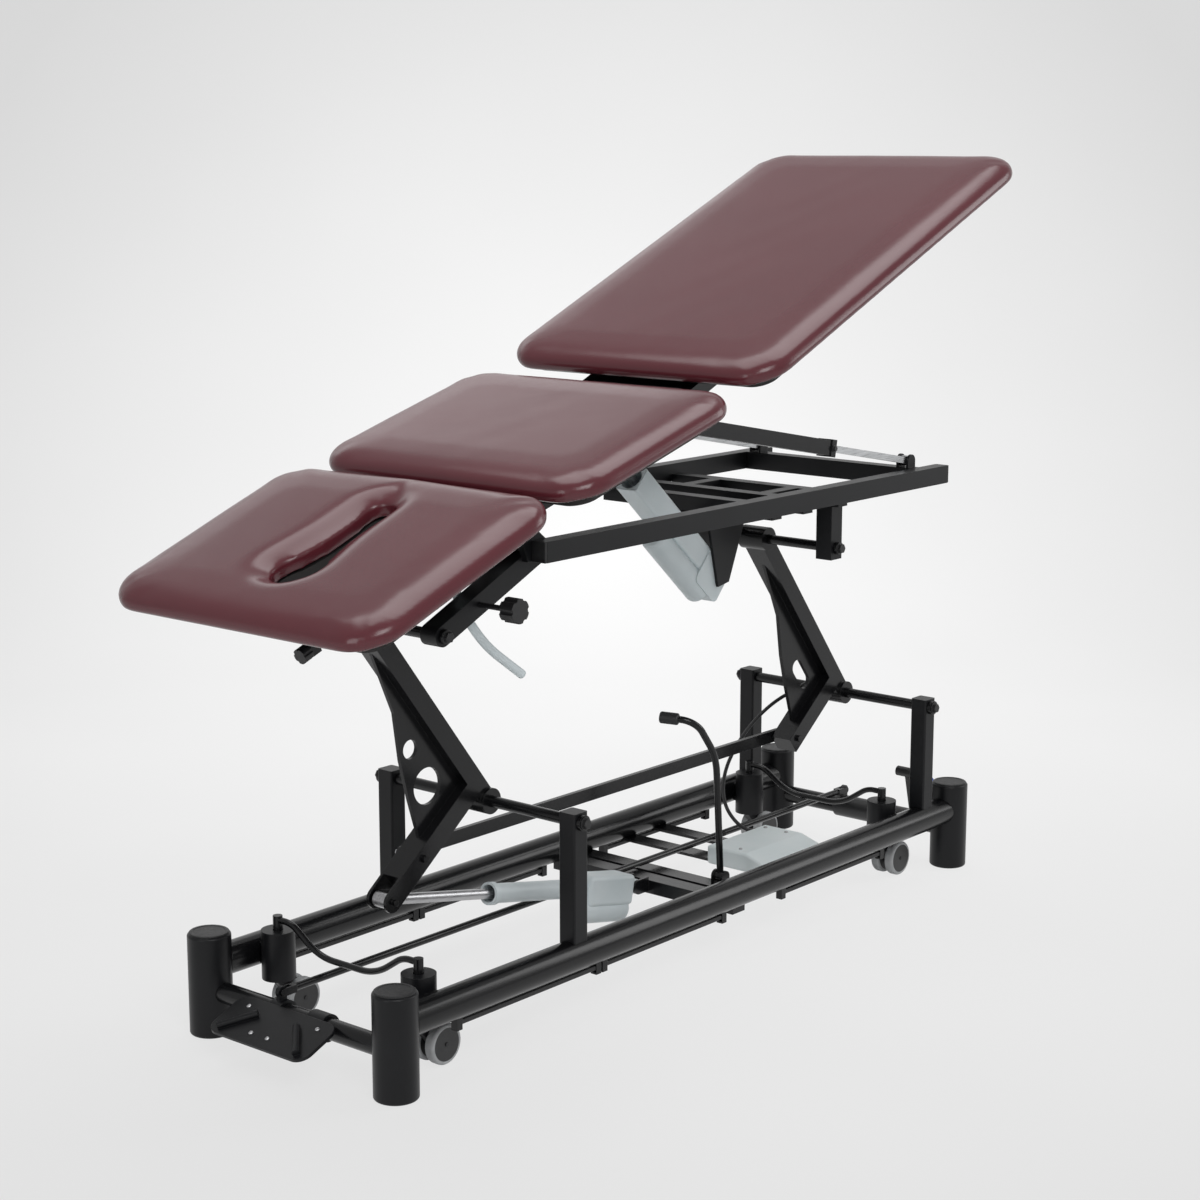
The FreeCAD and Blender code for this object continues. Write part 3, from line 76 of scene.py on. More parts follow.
# Node materials
class Nodes:
    def __init__(self, name):
        self.material = bpy.data.materials.new(name)
        self.material.use_nodes = True
        self.tree = self.material.node_tree
        self.shader = self.tree.nodes["Principled BSDF"]
        self.output = self.tree.nodes["Material Output"]
        self.place = self.add("ShaderNodeTexCoord").outputs["Object"]

    def add(self, kind, **settings):
        node = self.tree.nodes.new(kind)
        for key, value in settings.items():
            setattr(node, key, value)
        return node

    def join(self, source, target):
        self.tree.links.new(source, target)

    def noise(self, scale, detail=4.0, roughness=0.5, stretch=None):
        node = self.add("ShaderNodeTexNoise")
        node.inputs["Scale"].default_value = scale
        node.inputs["Detail"].default_value = detail
        node.inputs["Roughness"].default_value = roughness
        self.join(self.mapped(stretch), node.inputs["Vector"])
        return node.outputs["Fac"]

    def cells(self, scale, feature="F1"):
        node = self.add("ShaderNodeTexVoronoi", feature=feature)
        node.inputs["Scale"].default_value = scale
        self.join(self.place, node.inputs["Vector"])
        return node.outputs["Distance"]

    def mapped(self, stretch):
        if stretch is None:
            return self.place
        node = self.add("ShaderNodeMapping")
        node.inputs["Scale"].default_value = stretch
        self.join(self.place, node.inputs["Vector"])
        return node.outputs["Vector"]

    def ramp(self, source, low, high, first, last):
        node = self.add("ShaderNodeMapRange")
        node.inputs["From Min"].default_value = low
        node.inputs["From Max"].default_value = high
        node.inputs["To Min"].default_value = first
        node.inputs["To Max"].default_value = last
        self.join(source, node.inputs["Value"])
        return node.outputs["Result"]

    def math(self, operation, a, b):
        node = self.add("ShaderNodeMath", operation=operation)
        for value, socket in ((a, node.inputs[0]), (b, node.inputs[1])):
            if isinstance(value, (int, float)):
                socket.default_value = value
            else:
                self.join(value, socket)
        return node.outputs[0]

    def mix(self, factor, a, b):
        node = self.add("ShaderNodeMix", data_type="RGBA")
        self.join(factor, node.inputs[0])
        for value, socket in ((a, node.inputs[6]), (b, node.inputs[7])):
            if isinstance(value, tuple):
                socket.default_value = (*value, 1.0)
            else:
                self.join(value, socket)
        return node.outputs[2]

    def softEdge(self, radius):
        node = self.add("ShaderNodeBevel", samples=4)
        node.inputs["Radius"].default_value = radius
        return node.outputs["Normal"]

    def bump(self, height, strength, distance, after=None):
        node = self.add("ShaderNodeBump")
        node.inputs["Strength"].default_value = strength
        node.inputs["Distance"].default_value = distance
        self.join(height, node.inputs["Height"])
        if after is not None:
            self.join(after, node.inputs["Normal"])
        return node.outputs["Normal"]

    def finish(self, colour=None, roughness=None, normal=None, **values):
        for socket, source in (("Base Color", colour), ("Roughness", roughness), ("Normal", normal)):
            if source is not None:
                self.join(source, self.shader.inputs[socket])
        for key, value in values.items():
            self.shader.inputs[key].default_value = value
        return self.material


def powderCoat(name, look):
    # Satin black: cloudy tone, fine orange peel and faint rub marks
    n = Nodes(name)
    cloud = n.noise(look["cloud"], 3.0)
    rub = n.noise(look["rub"], 6.0, 0.7, (1.0, 1.0, 3.0))
    colour = n.mix(n.ramp(cloud, 0.35, 0.65, 0.0, 1.0), look["dark"], look["light"])
    colour = n.mix(n.ramp(rub, 0.66, 0.8, 0.0, 0.15), colour, look["worn"])
    rough = n.ramp(rub, 0.3, 0.75, look["rough"] - 0.02, look["rough"] + 0.03)
    peel = n.bump(n.noise(look["peel"], 2.0), 0.06, 0.0005, n.softEdge(look["edge"]))
    return n.finish(colour, rough, peel, **{
        "Specular IOR Level": look["specular"], "Coat Weight": look["coat"], "Coat Roughness": 0.12})


def mouldedPlastic(name, look):
    # Moulded skin: a fine stipple under a slow change of tone
    n = Nodes(name)
    cloud = n.noise(look["cloud"], 3.0)
    colour = n.mix(n.ramp(cloud, 0.3, 0.7, 0.0, 1.0), look["dark"], look["light"])
    dust = n.noise(look["cloud"] * 9.0, 5.0, 0.65)
    colour = n.mix(n.ramp(dust, 0.62, 0.78, 0.0, look["dust"]), colour, look["dusty"])
    rough = n.ramp(dust, 0.3, 0.7, look["rough"] - 0.06, look["rough"] + 0.06)
    stipple = n.bump(n.noise(look["stipple"], 1.0), look["grain"], 0.0004, n.softEdge(0.0012))
    return n.finish(colour, rough, stipple)


def drawnSteel(name, look):
    # Drawn bar: long streaks along the given direction
    n = Nodes(name)
    streak = n.noise(look["streak"], 3.0, 0.6, look["stretch"])
    colour = n.mix(n.ramp(streak, 0.3, 0.7, 0.0, 1.0), look["dark"], look["light"])
    rough = n.ramp(streak, 0.3, 0.7, look["rough"] - 0.07, look["rough"] + 0.08)
    return n.finish(colour, rough, n.bump(streak, 0.05, 0.0003), Metallic=1.0)


def grainedVinyl(name, look):
    # Upholstery vinyl: creased grain cells with painted shade along the creases, a slow cloud of tone and a soft sheen
    n = Nodes(name)
    cloud = n.noise(look["cloud"], 3.0)
    cell = n.cells(look["grain"], "DISTANCE_TO_EDGE")
    crease = n.ramp(cell, 0.0, 0.12, 0.0, 1.0)
    colour = n.mix(n.ramp(cloud, 0.3, 0.7, 0.0, 1.0), look["dark"], look["light"])
    # Painted shade: the grain's creases are darkened towards a darker copy of the vinyl colour
    colour = n.mix(n.ramp(crease, 0.0, 1.0, 0.22, 0.0), colour, look["crease"])
    rough = n.ramp(n.noise(look["cloud"] * 12.0, 4.0), 0.3, 0.7, look["rough"] - 0.015, look["rough"] + 0.015)
    wave = n.bump(n.noise(look["wave"], 2.0), 0.03, 0.004)
    grain = n.bump(crease, look["depth"], 0.0005, wave)
    return n.finish(colour, rough, grain, **{
        "Specular IOR Level": look["specular"], "Sheen Weight": look["sheen"], "Sheen Roughness": 0.4})


def paintedBoard(name, look):
    # Dark painted board: long fibres showing through the paint
    n = Nodes(name)
    fibre = n.noise(look["fibre"], 5.0, 0.6, (1.0, 12.0, 12.0))
    colour = n.mix(n.ramp(fibre, 0.3, 0.7, 0.0, 1.0), look["dark"], look["light"])
    return n.finish(colour, n.ramp(fibre, 0.3, 0.7, 0.55, 0.75), n.bump(fibre, 0.2, 0.0006))


def wheelRubber(name, look):
    # Grey tread ring round a black disc, by distance from the axle
    n = Nodes(name)
    split = n.add("ShaderNodeSeparateXYZ")
    n.join(n.place, split.inputs[0])
    dx = n.math("SUBTRACT", split.outputs["X"], look["axle"][0])
    dz = n.math("SUBTRACT", split.outputs["Z"], look["axle"][1])
    radius = n.math("SQRT", n.math("ADD", n.math("MULTIPLY", dx, dx), n.math("MULTIPLY", dz, dz)), 0.0)
    tread = n.ramp(radius, look["disc"] - 0.0006, look["disc"] + 0.0006, 0.0, 1.0)
    cloud = n.noise(look["cloud"], 4.0)
    grey = n.mix(n.ramp(cloud, 0.3, 0.7, 0.0, 1.0), look["dark"], look["light"])
    black = n.mix(n.ramp(cloud, 0.3, 0.7, 0.0, 1.0), (0.010, 0.010, 0.011), (0.018, 0.018, 0.019))
    colour = n.mix(tread, black, grey)
    rough = n.ramp(tread, 0.0, 1.0, 0.38, 0.7)
    return n.finish(colour, rough, n.bump(n.noise(1500.0, 2.0), 0.15, 0.0004))


def buttonPedal(name, look):
    # Black pedal whose round button is blue, by distance from the button's middle
    n = Nodes(name)
    away = n.add("ShaderNodeVectorMath", operation="DISTANCE")
    n.join(n.place, away.inputs[0])
    away.inputs[1].default_value = look["middle"]
    button = n.ramp(away.outputs["Value"], look["radius"] - 0.0003, look["radius"] + 0.0003, 1.0, 0.0)
    cloud = n.ramp(n.noise(14.0, 3.0), 0.3, 0.7, 0.0, 1.0)
    black = n.mix(cloud, (0.008, 0.008, 0.009), (0.013, 0.013, 0.014))
    blue = n.mix(cloud, look["blue"], tuple(1.3 * channel for channel in look["blue"]))
    rough = n.ramp(n.noise(90.0, 4.0), 0.3, 0.7, 0.30, 0.42)
    return n.finish(n.mix(button, black, blue), rough, n.bump(n.noise(900.0, 2.0), 0.12, 0.0005, n.softEdge(0.0012)))


blackCoat = powderCoat("blackCoat", {
    "cloud": 7.0, "rub": 26.0, "peel": 900.0, "rough": 0.24, "coat": 0.12, "specular": 0.28, "edge": 0.0016,
    "dark": (0.0035, 0.0036, 0.0042), "light": (0.0052, 0.0053, 0.0062), "worn": (0.011, 0.011, 0.012)})
satinCoat = powderCoat("satinCoat", {
    "cloud": 6.0, "rub": 22.0, "peel": 700.0, "rough": 0.38, "coat": 0.02, "specular": 0.25, "edge": 0.0018,
    "dark": (0.0050, 0.0052, 0.0062), "light": (0.0072, 0.0075, 0.0088), "worn": (0.014, 0.014, 0.0155)})
blackPlastic = mouldedPlastic("blackPlastic", {
    "cloud": 16.0, "stipple": 1800.0, "grain": 0.22, "rough": 0.48, "dust": 0.3,
    "dark": (0.006, 0.006, 0.007), "light": (0.009, 0.009, 0.010), "dusty": (0.018, 0.018, 0.019)})
greyPlastic = mouldedPlastic("greyPlastic", {
    "cloud": 11.0, "stipple": 1500.0, "grain": 0.15, "rough": 0.42, "dust": 0.35,
    "dark": (0.60, 0.67, 0.69), "light": (0.68, 0.74, 0.76), "dusty": (0.52, 0.57, 0.58)})
# Painted light: a lighter copy of the grey plastic for the control box, brightened to make up for the shade it lies in
# under the table top
boxPaintedLightPlastic = mouldedPlastic("boxPaintedLightPlastic", {
    "cloud": 9.0, "stipple": 1500.0, "grain": 0.15, "rough": 0.42, "dust": 0.3,
    "dark": (0.78, 0.86, 0.87), "light": (0.85, 0.91, 0.92), "dusty": (0.66, 0.71, 0.72)})
leadRubber = mouldedPlastic("leadRubber", {
    "cloud": 30.0, "stipple": 2500.0, "grain": 0.2, "rough": 0.5, "dust": 0.3,
    "dark": (0.008, 0.008, 0.009), "light": (0.014, 0.014, 0.015), "dusty": (0.03, 0.03, 0.03)})
shaftSteel = drawnSteel("shaftSteel", {
    "streak": 220.0, "stretch": (1.0, 0.05, 1.0), "rough": 0.34,
    "dark": (0.36, 0.36, 0.37), "light": (0.52, 0.52, 0.53)})
barSteel = drawnSteel("barSteel", {
    "streak": 260.0, "stretch": (0.05, 1.0, 1.0), "rough": 0.3,
    "dark": (0.42, 0.43, 0.44), "light": (0.62, 0.63, 0.64)})
ramSteel = drawnSteel("ramSteel", {
    "streak": 240.0, "stretch": (0.06, 1.0, 1.0), "rough": 0.32,
    "dark": (0.34, 0.34, 0.35), "light": (0.48, 0.48, 0.49)})
# The crease colour is painted shade for the grain's creases
burgundy = grainedVinyl("burgundy", {
    "cloud": 3.0, "grain": 420.0, "wave": 9.0, "depth": 0.05, "rough": 0.22, "specular": 0.5, "sheen": 0.0,
    "dark": (0.100, 0.0170, 0.0245), "light": (0.112, 0.0200, 0.0280), "crease": (0.068, 0.011, 0.016)})
darkBoard = paintedBoard("darkBoard", {"fibre": 14.0, "dark": (0.012, 0.011, 0.011), "light": (0.022, 0.02, 0.019)})

finishes = {"black_frame": blackCoat, "black_plastic": blackPlastic, "grey_plastic": greyPlastic, "steel": shaftSteel,
            "board": darkBoard, "vinyl": burgundy, "tyre": blackPlastic}
special = {"stay_bars": barSteel, "lift_ram": ramSteel, "tilt_ram": ramSteel, "pivot_shafts": blackCoat,
           # The control box takes the grey plastic's lighter copy, which carries painted light
           "top_shafts": blackCoat, "leg_hinge_shaft": blackCoat, "control_box": boxPaintedLightPlastic}
special.update({name: satinCoat for name in ("feet", "top_rails", "pivot_posts", "top_hangers", "top_cross_members",
                                             "castor_housings", "head_pedal", "tilt_bracket")})
for part in frame["record"]["subparts"]:
    node = nodes[part["node"]]
    node.data.materials.clear()
    node.data.materials.append(special.get(part["node"], finishes[part["material_slot"]]))
pedalLow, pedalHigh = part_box("foot_pedal")
special["foot_pedal"] = buttonPedal("pedalCoat", {"middle": (pedalHigh.x - 0.013, -0.150, 0.164), "radius": 0.0137,
                                                  "blue": (0.012, 0.055, 0.32)})
nodes["foot_pedal"].data.materials.clear()
nodes["foot_pedal"].data.materials.append(special["foot_pedal"])
for name in ("head_near_wheels", "head_far_wheels", "foot_near_wheels", "foot_far_wheels"):
    low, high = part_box(name)
    wheel = wheelRubber(name + "Rubber", {
        "axle": ((low.x + high.x) / 2, (low.z + high.z) / 2), "disc": 0.0305, "cloud": 60.0,
        "dark": (0.40, 0.41, 0.42), "light": (0.52, 0.53, 0.54)})
    nodes[name].data.materials.clear()
    nodes[name].data.materials.append(wheel)
print("stage: materials")


# Shared mesh helpers
def addMesh(name, points, faces, material):
    mesh = bpy.data.meshes.new(name)
    mesh.from_pydata(points, [], faces)
    mesh.update()
    item = bpy.data.objects.new(name, mesh)
    scene.collection.objects.link(item)
    if material is not None:
        mesh.materials.append(material)
    mesh.polygons.foreach_set("use_smooth", np.ones(len(mesh.polygons), dtype=bool))
    return item


def gridFaces(rows, columns, closeRows=False, closeColumns=False):
    # Quads of a grid of points numbered row by row
    r = np.arange(rows if closeRows else rows - 1)
    c = np.arange(columns if closeColumns else columns - 1)
    i, j = np.meshgrid(r, c, indexing="ij")
    i2 = (i + 1) % rows
    j2 = (j + 1) % columns
    quads = np.stack((i * columns + j, i2 * columns + j, i2 * columns + j2, i * columns + j2), axis=-1)
    return quads.reshape(-1, 4)


# Cushions: vinyl over foam, blown up a little so that the edges fill out
def copiedMesh(name, node, voxel):
    # The node's solid as one even skin of small quads
    skin = nodes[node].data.copy()
    work = bmesh.new()
    work.from_mesh(skin)
    bmesh.ops.remove_doubles(work, verts=work.verts, dist=0.00002)
    work.to_mesh(skin)
    work.free()
    skin.materials.clear()
    item = bpy.data.objects.new(name, skin)
    scene.collection.objects.link(item)
    remesh = item.modifiers.new("evenSkin", "REMESH")
    remesh.mode = "VOXEL"
    remesh.voxel_size = voxel
    even = bpy.data.meshes.new_from_object(item.evaluated_get(bpy.context.evaluated_depsgraph_get()))
    item.modifiers.clear()
    item.data = even
    return item


def readPoints(mesh):
    flat = np.empty(len(mesh.vertices) * 3)
    mesh.vertices.foreach_get("co", flat)
    return flat.reshape(-1, 3)


def readNormals(mesh):
    flat = np.empty(len(mesh.vertices) * 3)
    mesh.vertices.foreach_get("normal", flat)
    return flat.reshape(-1, 3)


def writePoints(mesh, points):
    mesh.vertices.foreach_set("co", np.ascontiguousarray(points).ravel())
    mesh.update()


def blownUp(item, held, look):
    # Cloth with air in it for twenty frames; the held points stay, and no point moves further than the cap
    group = item.vertex_groups.new(name="held")
    group.add(np.flatnonzero(held).tolist(), 1.0, "REPLACE")
    cloth = item.modifiers.new("blown", "CLOTH")
    cloth.settings.use_pressure = True
    cloth.settings.uniform_pressure_force = look["pressure"]
    cloth.settings.effector_weights.gravity = 0.0
    cloth.settings.vertex_group_mass = "held"
    cloth.settings.tension_stiffness = look["stretch"]
    cloth.settings.compression_stiffness = look["stretch"]
    cloth.settings.bending_stiffness = look["bend"]
    cloth.collision_settings.use_collision = False
    cloth.point_cache.frame_start = 1
    cloth.point_cache.frame_end = 20
    before = readPoints(item.data)
    for step in range(1, 21):
        scene.frame_set(step)
    evaluated = item.evaluated_get(bpy.context.evaluated_depsgraph_get())
    moved = readPoints(evaluated.to_mesh()) - before
    evaluated.to_mesh_clear()
    item.modifiers.clear()
    item.vertex_groups.clear()
    scene.frame_set(1)
    length = np.linalg.norm(moved, axis=1, keepdims=True)
    return before + moved * np.minimum(1.0, look["cap"] / np.maximum(length, 1e-9))


def planeAxes(angle):
    a = math.radians(angle)
    return np.array((math.cos(a), 0.0, math.sin(a))), np.array((-math.sin(a), 0.0, math.cos(a)))


def keyholeGap(along, across, look):
    # Distance outside the slot: two rounds joined by a waist that narrows between them
    share = np.clip((along - look["headEnd"]) / (look["neckEnd"] - look["headEnd"]), 0.0, 1.0)
    radius = look["headRadius"] + (look["neckRadius"] - look["headRadius"]) * share
    radius = radius - look["waist"] * np.sin(math.pi * share) ** 2
    centre = look["headEnd"] + (look["neckEnd"] - look["headEnd"]) * share
    return np.hypot(along - centre, across) - radius


def insideOutline(along, across, look):
    # Distance inside a rounded rectangle about its middle
    along = np.abs(along) - look["length"] / 2 + look["corner"]
    across = np.abs(across) - look["width"] / 2 + look["corner"]
    outside = np.hypot(np.maximum(along, 0.0), np.maximum(across, 0.0))
    return look["corner"] - outside - np.minimum(np.maximum(along, across), 0.0)


def addCushion(look):
    item = copiedMesh(look["name"], look["node"], look["voxel"])
    outward, upward = planeAxes(look["angle"])
    hinge = np.array(look["hinge"])
    points = readPoints(item.data) - look["slack"] * readNormals(item.data)
    writePoints(item.data, points)
    height = (points - hinge) @ upward
    held = height < height.min() + look["heldBand"]
    if "slot" in look:
        held |= keyholeGap((points - hinge) @ outward, points[:, 1], look["slot"]) < look["slot"]["heldRim"]
    points = blownUp(item, held, look)
    along = (points - hinge) @ outward
    height = (points - hinge) @ upward
    across = points[:, 1]
    # Slow dimples in the foam, strongest where the vinyl rolls over the edge
    dimple = np.sin(along * 31.0 + 2.0 * np.sin(across * 17.0)) * np.sin(across * 27.0 + look["phase"])
    edge = np.clip((height - look["edgeLow"]) / (look["edgeHigh"] - look["edgeLow"]), 0.0, 1.0)
    shift = look["dimple"] * dimple * edge * (1.2 - edge)
    # The top rolls over towards the outline: lowered by a bell of the given depth and reach
    inset = insideOutline(along - look["middle"], across, look)
    shift = shift - look["roll"] * np.exp(-np.square(np.maximum(inset, 0.0) / look["rollReach"])) * edge
    if "slot" in look:
        # The vinyl is drawn down into the slot: a bell of the given depth and reach round its rim
        gap = keyholeGap(along, across, look["slot"])
        bell = np.exp(-np.square(np.maximum(gap, 0.0) / look["slot"]["reach"]))
        shift = shift - look["slot"]["draw"] * bell * edge
    points = points + shift[:, None] * upward
    # Each corner is drawn in along its diagonal to the rounder sewn outline, fading away from the edge
    sewn = insideOutline(along - look["middle"], across, {**look, "corner": look["sewnCorner"]})
    pull = np.maximum(inset - sewn, 0.0) * np.exp(-np.maximum(inset, 0.0) / look["cornerReach"]) / np.sqrt(2.0)
    points = points - (pull * np.sign(along - look["middle"]))[:, None] * outward
    points[:, 1] -= pull * np.sign(across)
    writePoints(item.data, points)
    item.data.polygons.foreach_set("use_smooth", np.ones(len(item.data.polygons), dtype=bool))
    item.data.materials.append(burgundy)
    eased = item.modifiers.new("eased", "SMOOTH")
    eased.factor = 0.5
    eased.iterations = look["eased"]
    fine = item.modifiers.new("fine", "SUBSURF")
    fine.levels = 1
    fine.render_levels = 1
    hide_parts(look["node"])
    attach(item, look["body"])
    return item


hingeLine = (-0.48413, 0.0, 0.940)
legLine = (0.03921, 0.0, 1.09205)
blow = {"voxel": 0.006, "slack": 0.002, "pressure": 4.0, "stretch": 40.0, "bend": 8.0, "cap": 0.003, "heldBand": 0.010,
        "dimple": 0.0007, "fill": 0.9, "eased": 24, "width": 0.686, "corner": 0.062, "roll": 0.007, "rollReach": 0.030,
        "sewnCorner": 0.092, "cornerReach": 0.070}
cushions = (
    {**blow, "name": "legCushion", "node": "leg_cushion", "body": "leg", "hinge": legLine, "angle": 23.5, "phase": 0.4,
     "middle": 0.544, "length": 1.014, "edgeLow": 0.030, "edgeHigh": 0.075},
    {**blow, "name": "middleCushion", "node": "middle_cushion", "body": "middle", "hinge": hingeLine, "angle": 16.2,
     "phase": 1.7, "middle": 0.268, "length": 0.494, "edgeLow": 0.030, "edgeHigh": 0.075},
    {**blow, "name": "headCushion", "node": "head_cushion", "body": "head", "hinge": hingeLine, "angle": 21.1,
     "phase": 2.9, "middle": -0.257, "length": 0.512, "edgeLow": 0.040, "edgeHigh": 0.084,
     "slot": {"headEnd": -0.332, "neckEnd": -0.124, "headRadius": 0.048, "neckRadius": 0.029, "waist": 0.006,
              "reach": 0.024, "draw": 0.016, "heldRim": 0.012}})
for look in cushions:
    addCushion(look)
    print("stage: cushion", look["name"])


# Leads: one smooth spline each, through the route of the solid tube
def addLead(look):
    curve = bpy.data.curves.new(look["name"], "CURVE")
    curve.dimensions = "3D"
    spline = curve.splines.new("NURBS")
    spline.points.add(len(look["route"]) - 1)
    for point, place in zip(spline.points, look["route"]):
        point.co = (*place, 1.0)
    spline.order_u = 3
    spline.use_endpoint_u = True
    spline.resolution_u = 10
    curve.bevel_depth = leadDiameter / 2
    curve.bevel_resolution = 6
    curve.use_fill_caps = True
    curve.materials.append(leadRubber)
    item = bpy.data.objects.new(look["name"], curve)
    scene.collection.objects.link(item)
    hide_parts(look["node"])
    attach(item, look["body"])
    return item


leadDiameter = 0.008
leads = (
    {"name": "baseLead", "node": "base_lead", "body": "base", "length": 0.485,
     "route": ((0.46287, -0.0297, 0.134), (0.46287, 0.00007, 0.134), (0.46693, 0.03398, 0.14789),
               (0.47882, 0.06623, 0.16989), (0.49883, 0.09022, 0.20002), (0.52667, 0.10427, 0.23592),
               (0.56089, 0.10841, 0.27181), (0.59888, 0.10634, 0.30587), (0.63890, 0.09849, 0.33784),
               (0.68095, 0.08443, 0.36587), (0.72097, 0.06830, 0.38369), (0.75287, 0.05300, 0.39600))},
    {"name": "armLead", "node": "arm_lead", "body": "foot_arm", "length": 0.400,
     "route": ((0.76824, 0.0293, 0.41552), (0.73484, 0.0293, 0.45287), (0.70218, 0.0293, 0.49081),
               (0.67028, 0.0293, 0.52934), (0.63912, 0.0293, 0.56844), (0.60871, 0.0293, 0.60814),
               (0.57905, 0.0293, 0.64841), (0.55014, 0.0293, 0.68928), (0.52198, 0.0293, 0.73073))},
    {"name": "topLead", "node": "top_lead", "body": "top_frame", "length": 0.132,
     "route": ((0.45519, 0.0380, 0.79213), (0.42510, 0.03399, 0.78320), (0.39104, 0.02798, 0.78415),
               (0.35896, 0.0213, 0.79513), (0.33087, 0.0213, 0.81113))})
for look in leads:
    addLead(look)
print("stage: leads")


# Turned and hexagonal fasteners
def turned(profile, sides, place, axis, spin=0.0):
    # Points of a profile of (radius, height) pairs swept round an axis through a place, with its closing faces
    radius, height = np.array(profile).T
    turn = np.arange(sides) * 2.0 * np.pi / sides + spin
    ring = np.stack((radius[:, None] * np.cos(turn), radius[:, None] * np.sin(turn),
                     np.repeat(height[:, None], sides, axis=1)), axis=-1).reshape(-1, 3)
    turnTo = np.array(Vector(axis).to_track_quat("Z", "Y").to_matrix())
    points = ring @ turnTo.T + np.array(place)
    faces = [list(face) for face in gridFaces(len(profile), sides, closeColumns=True)[:, ::-1]]
    faces.append(list(range(sides))[::-1])
    faces.append([(len(profile) - 1) * sides + step for step in range(sides)])
    return points, faces


def addTurnedSet(look):
    # Several copies of one turned form, joined in one object that rides on one body
    points = []
    faces = []
    for place, axis in look["spots"]:
        for profile, sides in look["forms"]:
            start = sum(len(block) for block in points)
            block, rings = turned(profile, sides, place, axis, look.get("spin", 0.0))
            points.append(block)
            faces += [[start + corner for corner in face] for face in rings]
    item = addMesh(look["name"], np.concatenate(points).tolist(), faces, look["material"])
    item.data.polygons.foreach_set("use_smooth", np.zeros(len(item.data.polygons), dtype=bool))
    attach(item, look["body"])
    return item


hexBolt = ((((0.0125, 0.0), (0.0125, 0.0014), (0.0118, 0.002)), 32),
           (((0.0100, 0.002), (0.0100, 0.0076), (0.0088, 0.0088)), 6))
smallBolt = ((((0.0072, 0.0), (0.0072, 0.001), (0.0066, 0.0014)), 24),
             (((0.0056, 0.0014), (0.0056, 0.0046), (0.0048, 0.0054)), 6))
panScrew = ((((0.0046, 0.0), (0.0044, 0.0012), (0.0034, 0.0022), (0.0016, 0.0026)), 20),)
footTop = ((((0.0365, 0.0), (0.0365, 0.0016), (0.0352, 0.0026), (0.0300, 0.0030), (0.0292, 0.0022)), 48),)


def sideSpots(xs, height, reach):
    return [((x, side * reach, height), (0.0, side, 0.0)) for x in xs for side in (-1, 1)]


def middleOf(node):
    low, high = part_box(node)
    return (low + high) / 2


postLow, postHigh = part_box("pivot_shafts")
pivotXs = (postLow.x + 0.015, postHigh.x - 0.015)
topLow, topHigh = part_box("top_shafts")
topPivotHeight = topLow.z + 0.013
topXs = (topLow.x + 0.013, topHigh.x - 0.013)
footLow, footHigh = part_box("feet")
footXs = (footLow.x + 0.040, footHigh.x - 0.040)
footTops = [((x, y, footHigh.z), (0, 0, 1)) for x in footXs for y in (footLow.y + 0.040, footHigh.y - 0.040)]
tieLow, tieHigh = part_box("tie_rod")
tieXs = (tieLow.x + 0.013, tieHigh.x - 0.013)
tieHeight = (tieLow.z + tieHigh.z) / 2
boxLow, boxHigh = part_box("control_box")
boxScrews = [((x, boxHigh.y - 0.018, boxHigh.z), (0, 0, 1)) for x in (boxLow.x + 0.022, boxHigh.x - 0.022)]
boxScrews += [((x, (boxLow.y + boxHigh.y) / 2, boxHigh.z), (0, 0, 1)) for x in (boxLow.x + 0.022, boxHigh.x - 0.022)]
pedalLean = math.radians(22.0)
pedalUp = (-math.sin(pedalLean), 0.0, math.cos(pedalLean))
pedalScrews = [((-0.85513 - step * math.cos(pedalLean) + 0.003 * pedalUp[0], y,
                 0.101 - step * math.sin(pedalLean) + 0.003 * pedalUp[2]), pedalUp)
               for step, y in ((0.022, -0.085), (0.022, 0.090), (0.076, -0.012), (0.076, 0.030))]
stayLow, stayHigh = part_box("stay_tubes")
collarMiddle = (stayHigh.x - 0.0112, 0.980)
fasteners = (
    {"name": "pedalScrews", "forms": panScrew, "spots": pedalScrews, "body": "head_pedal", "material": shaftSteel,
     "slot": "steel"},
    {"name": "collarBolts", "forms": smallBolt, "spots": sideSpots((collarMiddle[0],), collarMiddle[1], stayHigh.y),
     "body": "stay_tubes", "material": blackPlastic, "slot": "black_plastic"},
    {"name": "pivotBolts", "forms": hexBolt, "spots": sideSpots(pivotXs, middleOf("pivot_shafts").z, postHigh.y),
     "body": "base", "material": blackPlastic, "slot": "black_plastic"},
    {"name": "hangerBolts", "forms": hexBolt, "spots": sideSpots(topXs, topPivotHeight, 0.212),
     "body": "top_frame", "material": blackPlastic, "slot": "black_plastic"},
    {"name": "footTops", "forms": footTop, "spots": footTops, "body": "base", "material": blackPlastic,
     "slot": "black_plastic"},
    {"name": "tieBolts", "forms": smallBolt, "body": "tie_rod", "material": shaftSteel, "slot": "steel",
     "spots": [((x, tieHigh.y, tieHeight), (0, 1, 0)) for x in tieXs]},
    {"name": "boxScrews", "forms": panScrew, "spots": boxScrews, "body": "base", "material": shaftSteel,
     "slot": "steel"})
for look in fasteners:
    addTurnedSet(look)
print("stage: fasteners")


# Clips that hold the leads' ends, and the boot at the control box
def roundBar(radius, length):
    # A short round bar with eased ends, half of it on each side of its place
    ease = min(0.0012, 0.2 * radius)
    half = length / 2
    return ((radius - ease, -half), (radius, ease - half), (radius, half - ease), (radius - ease, half))


def addClips(look):
    points = []
    faces = []
    for profile, place, axis in look["bars"]:
        start = sum(len(block) for block in points)
        block, rings = turned(profile, 28, place, axis)
        points.append(block)
        faces += [[start + corner for corner in face] for face in rings]
    item = addMesh(look["name"], np.concatenate(points).tolist(), faces, blackPlastic)
    item.data.polygons.foreach_set("use_smooth", np.zeros(len(item.data.polygons), dtype=bool))
    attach(item, look["body"])


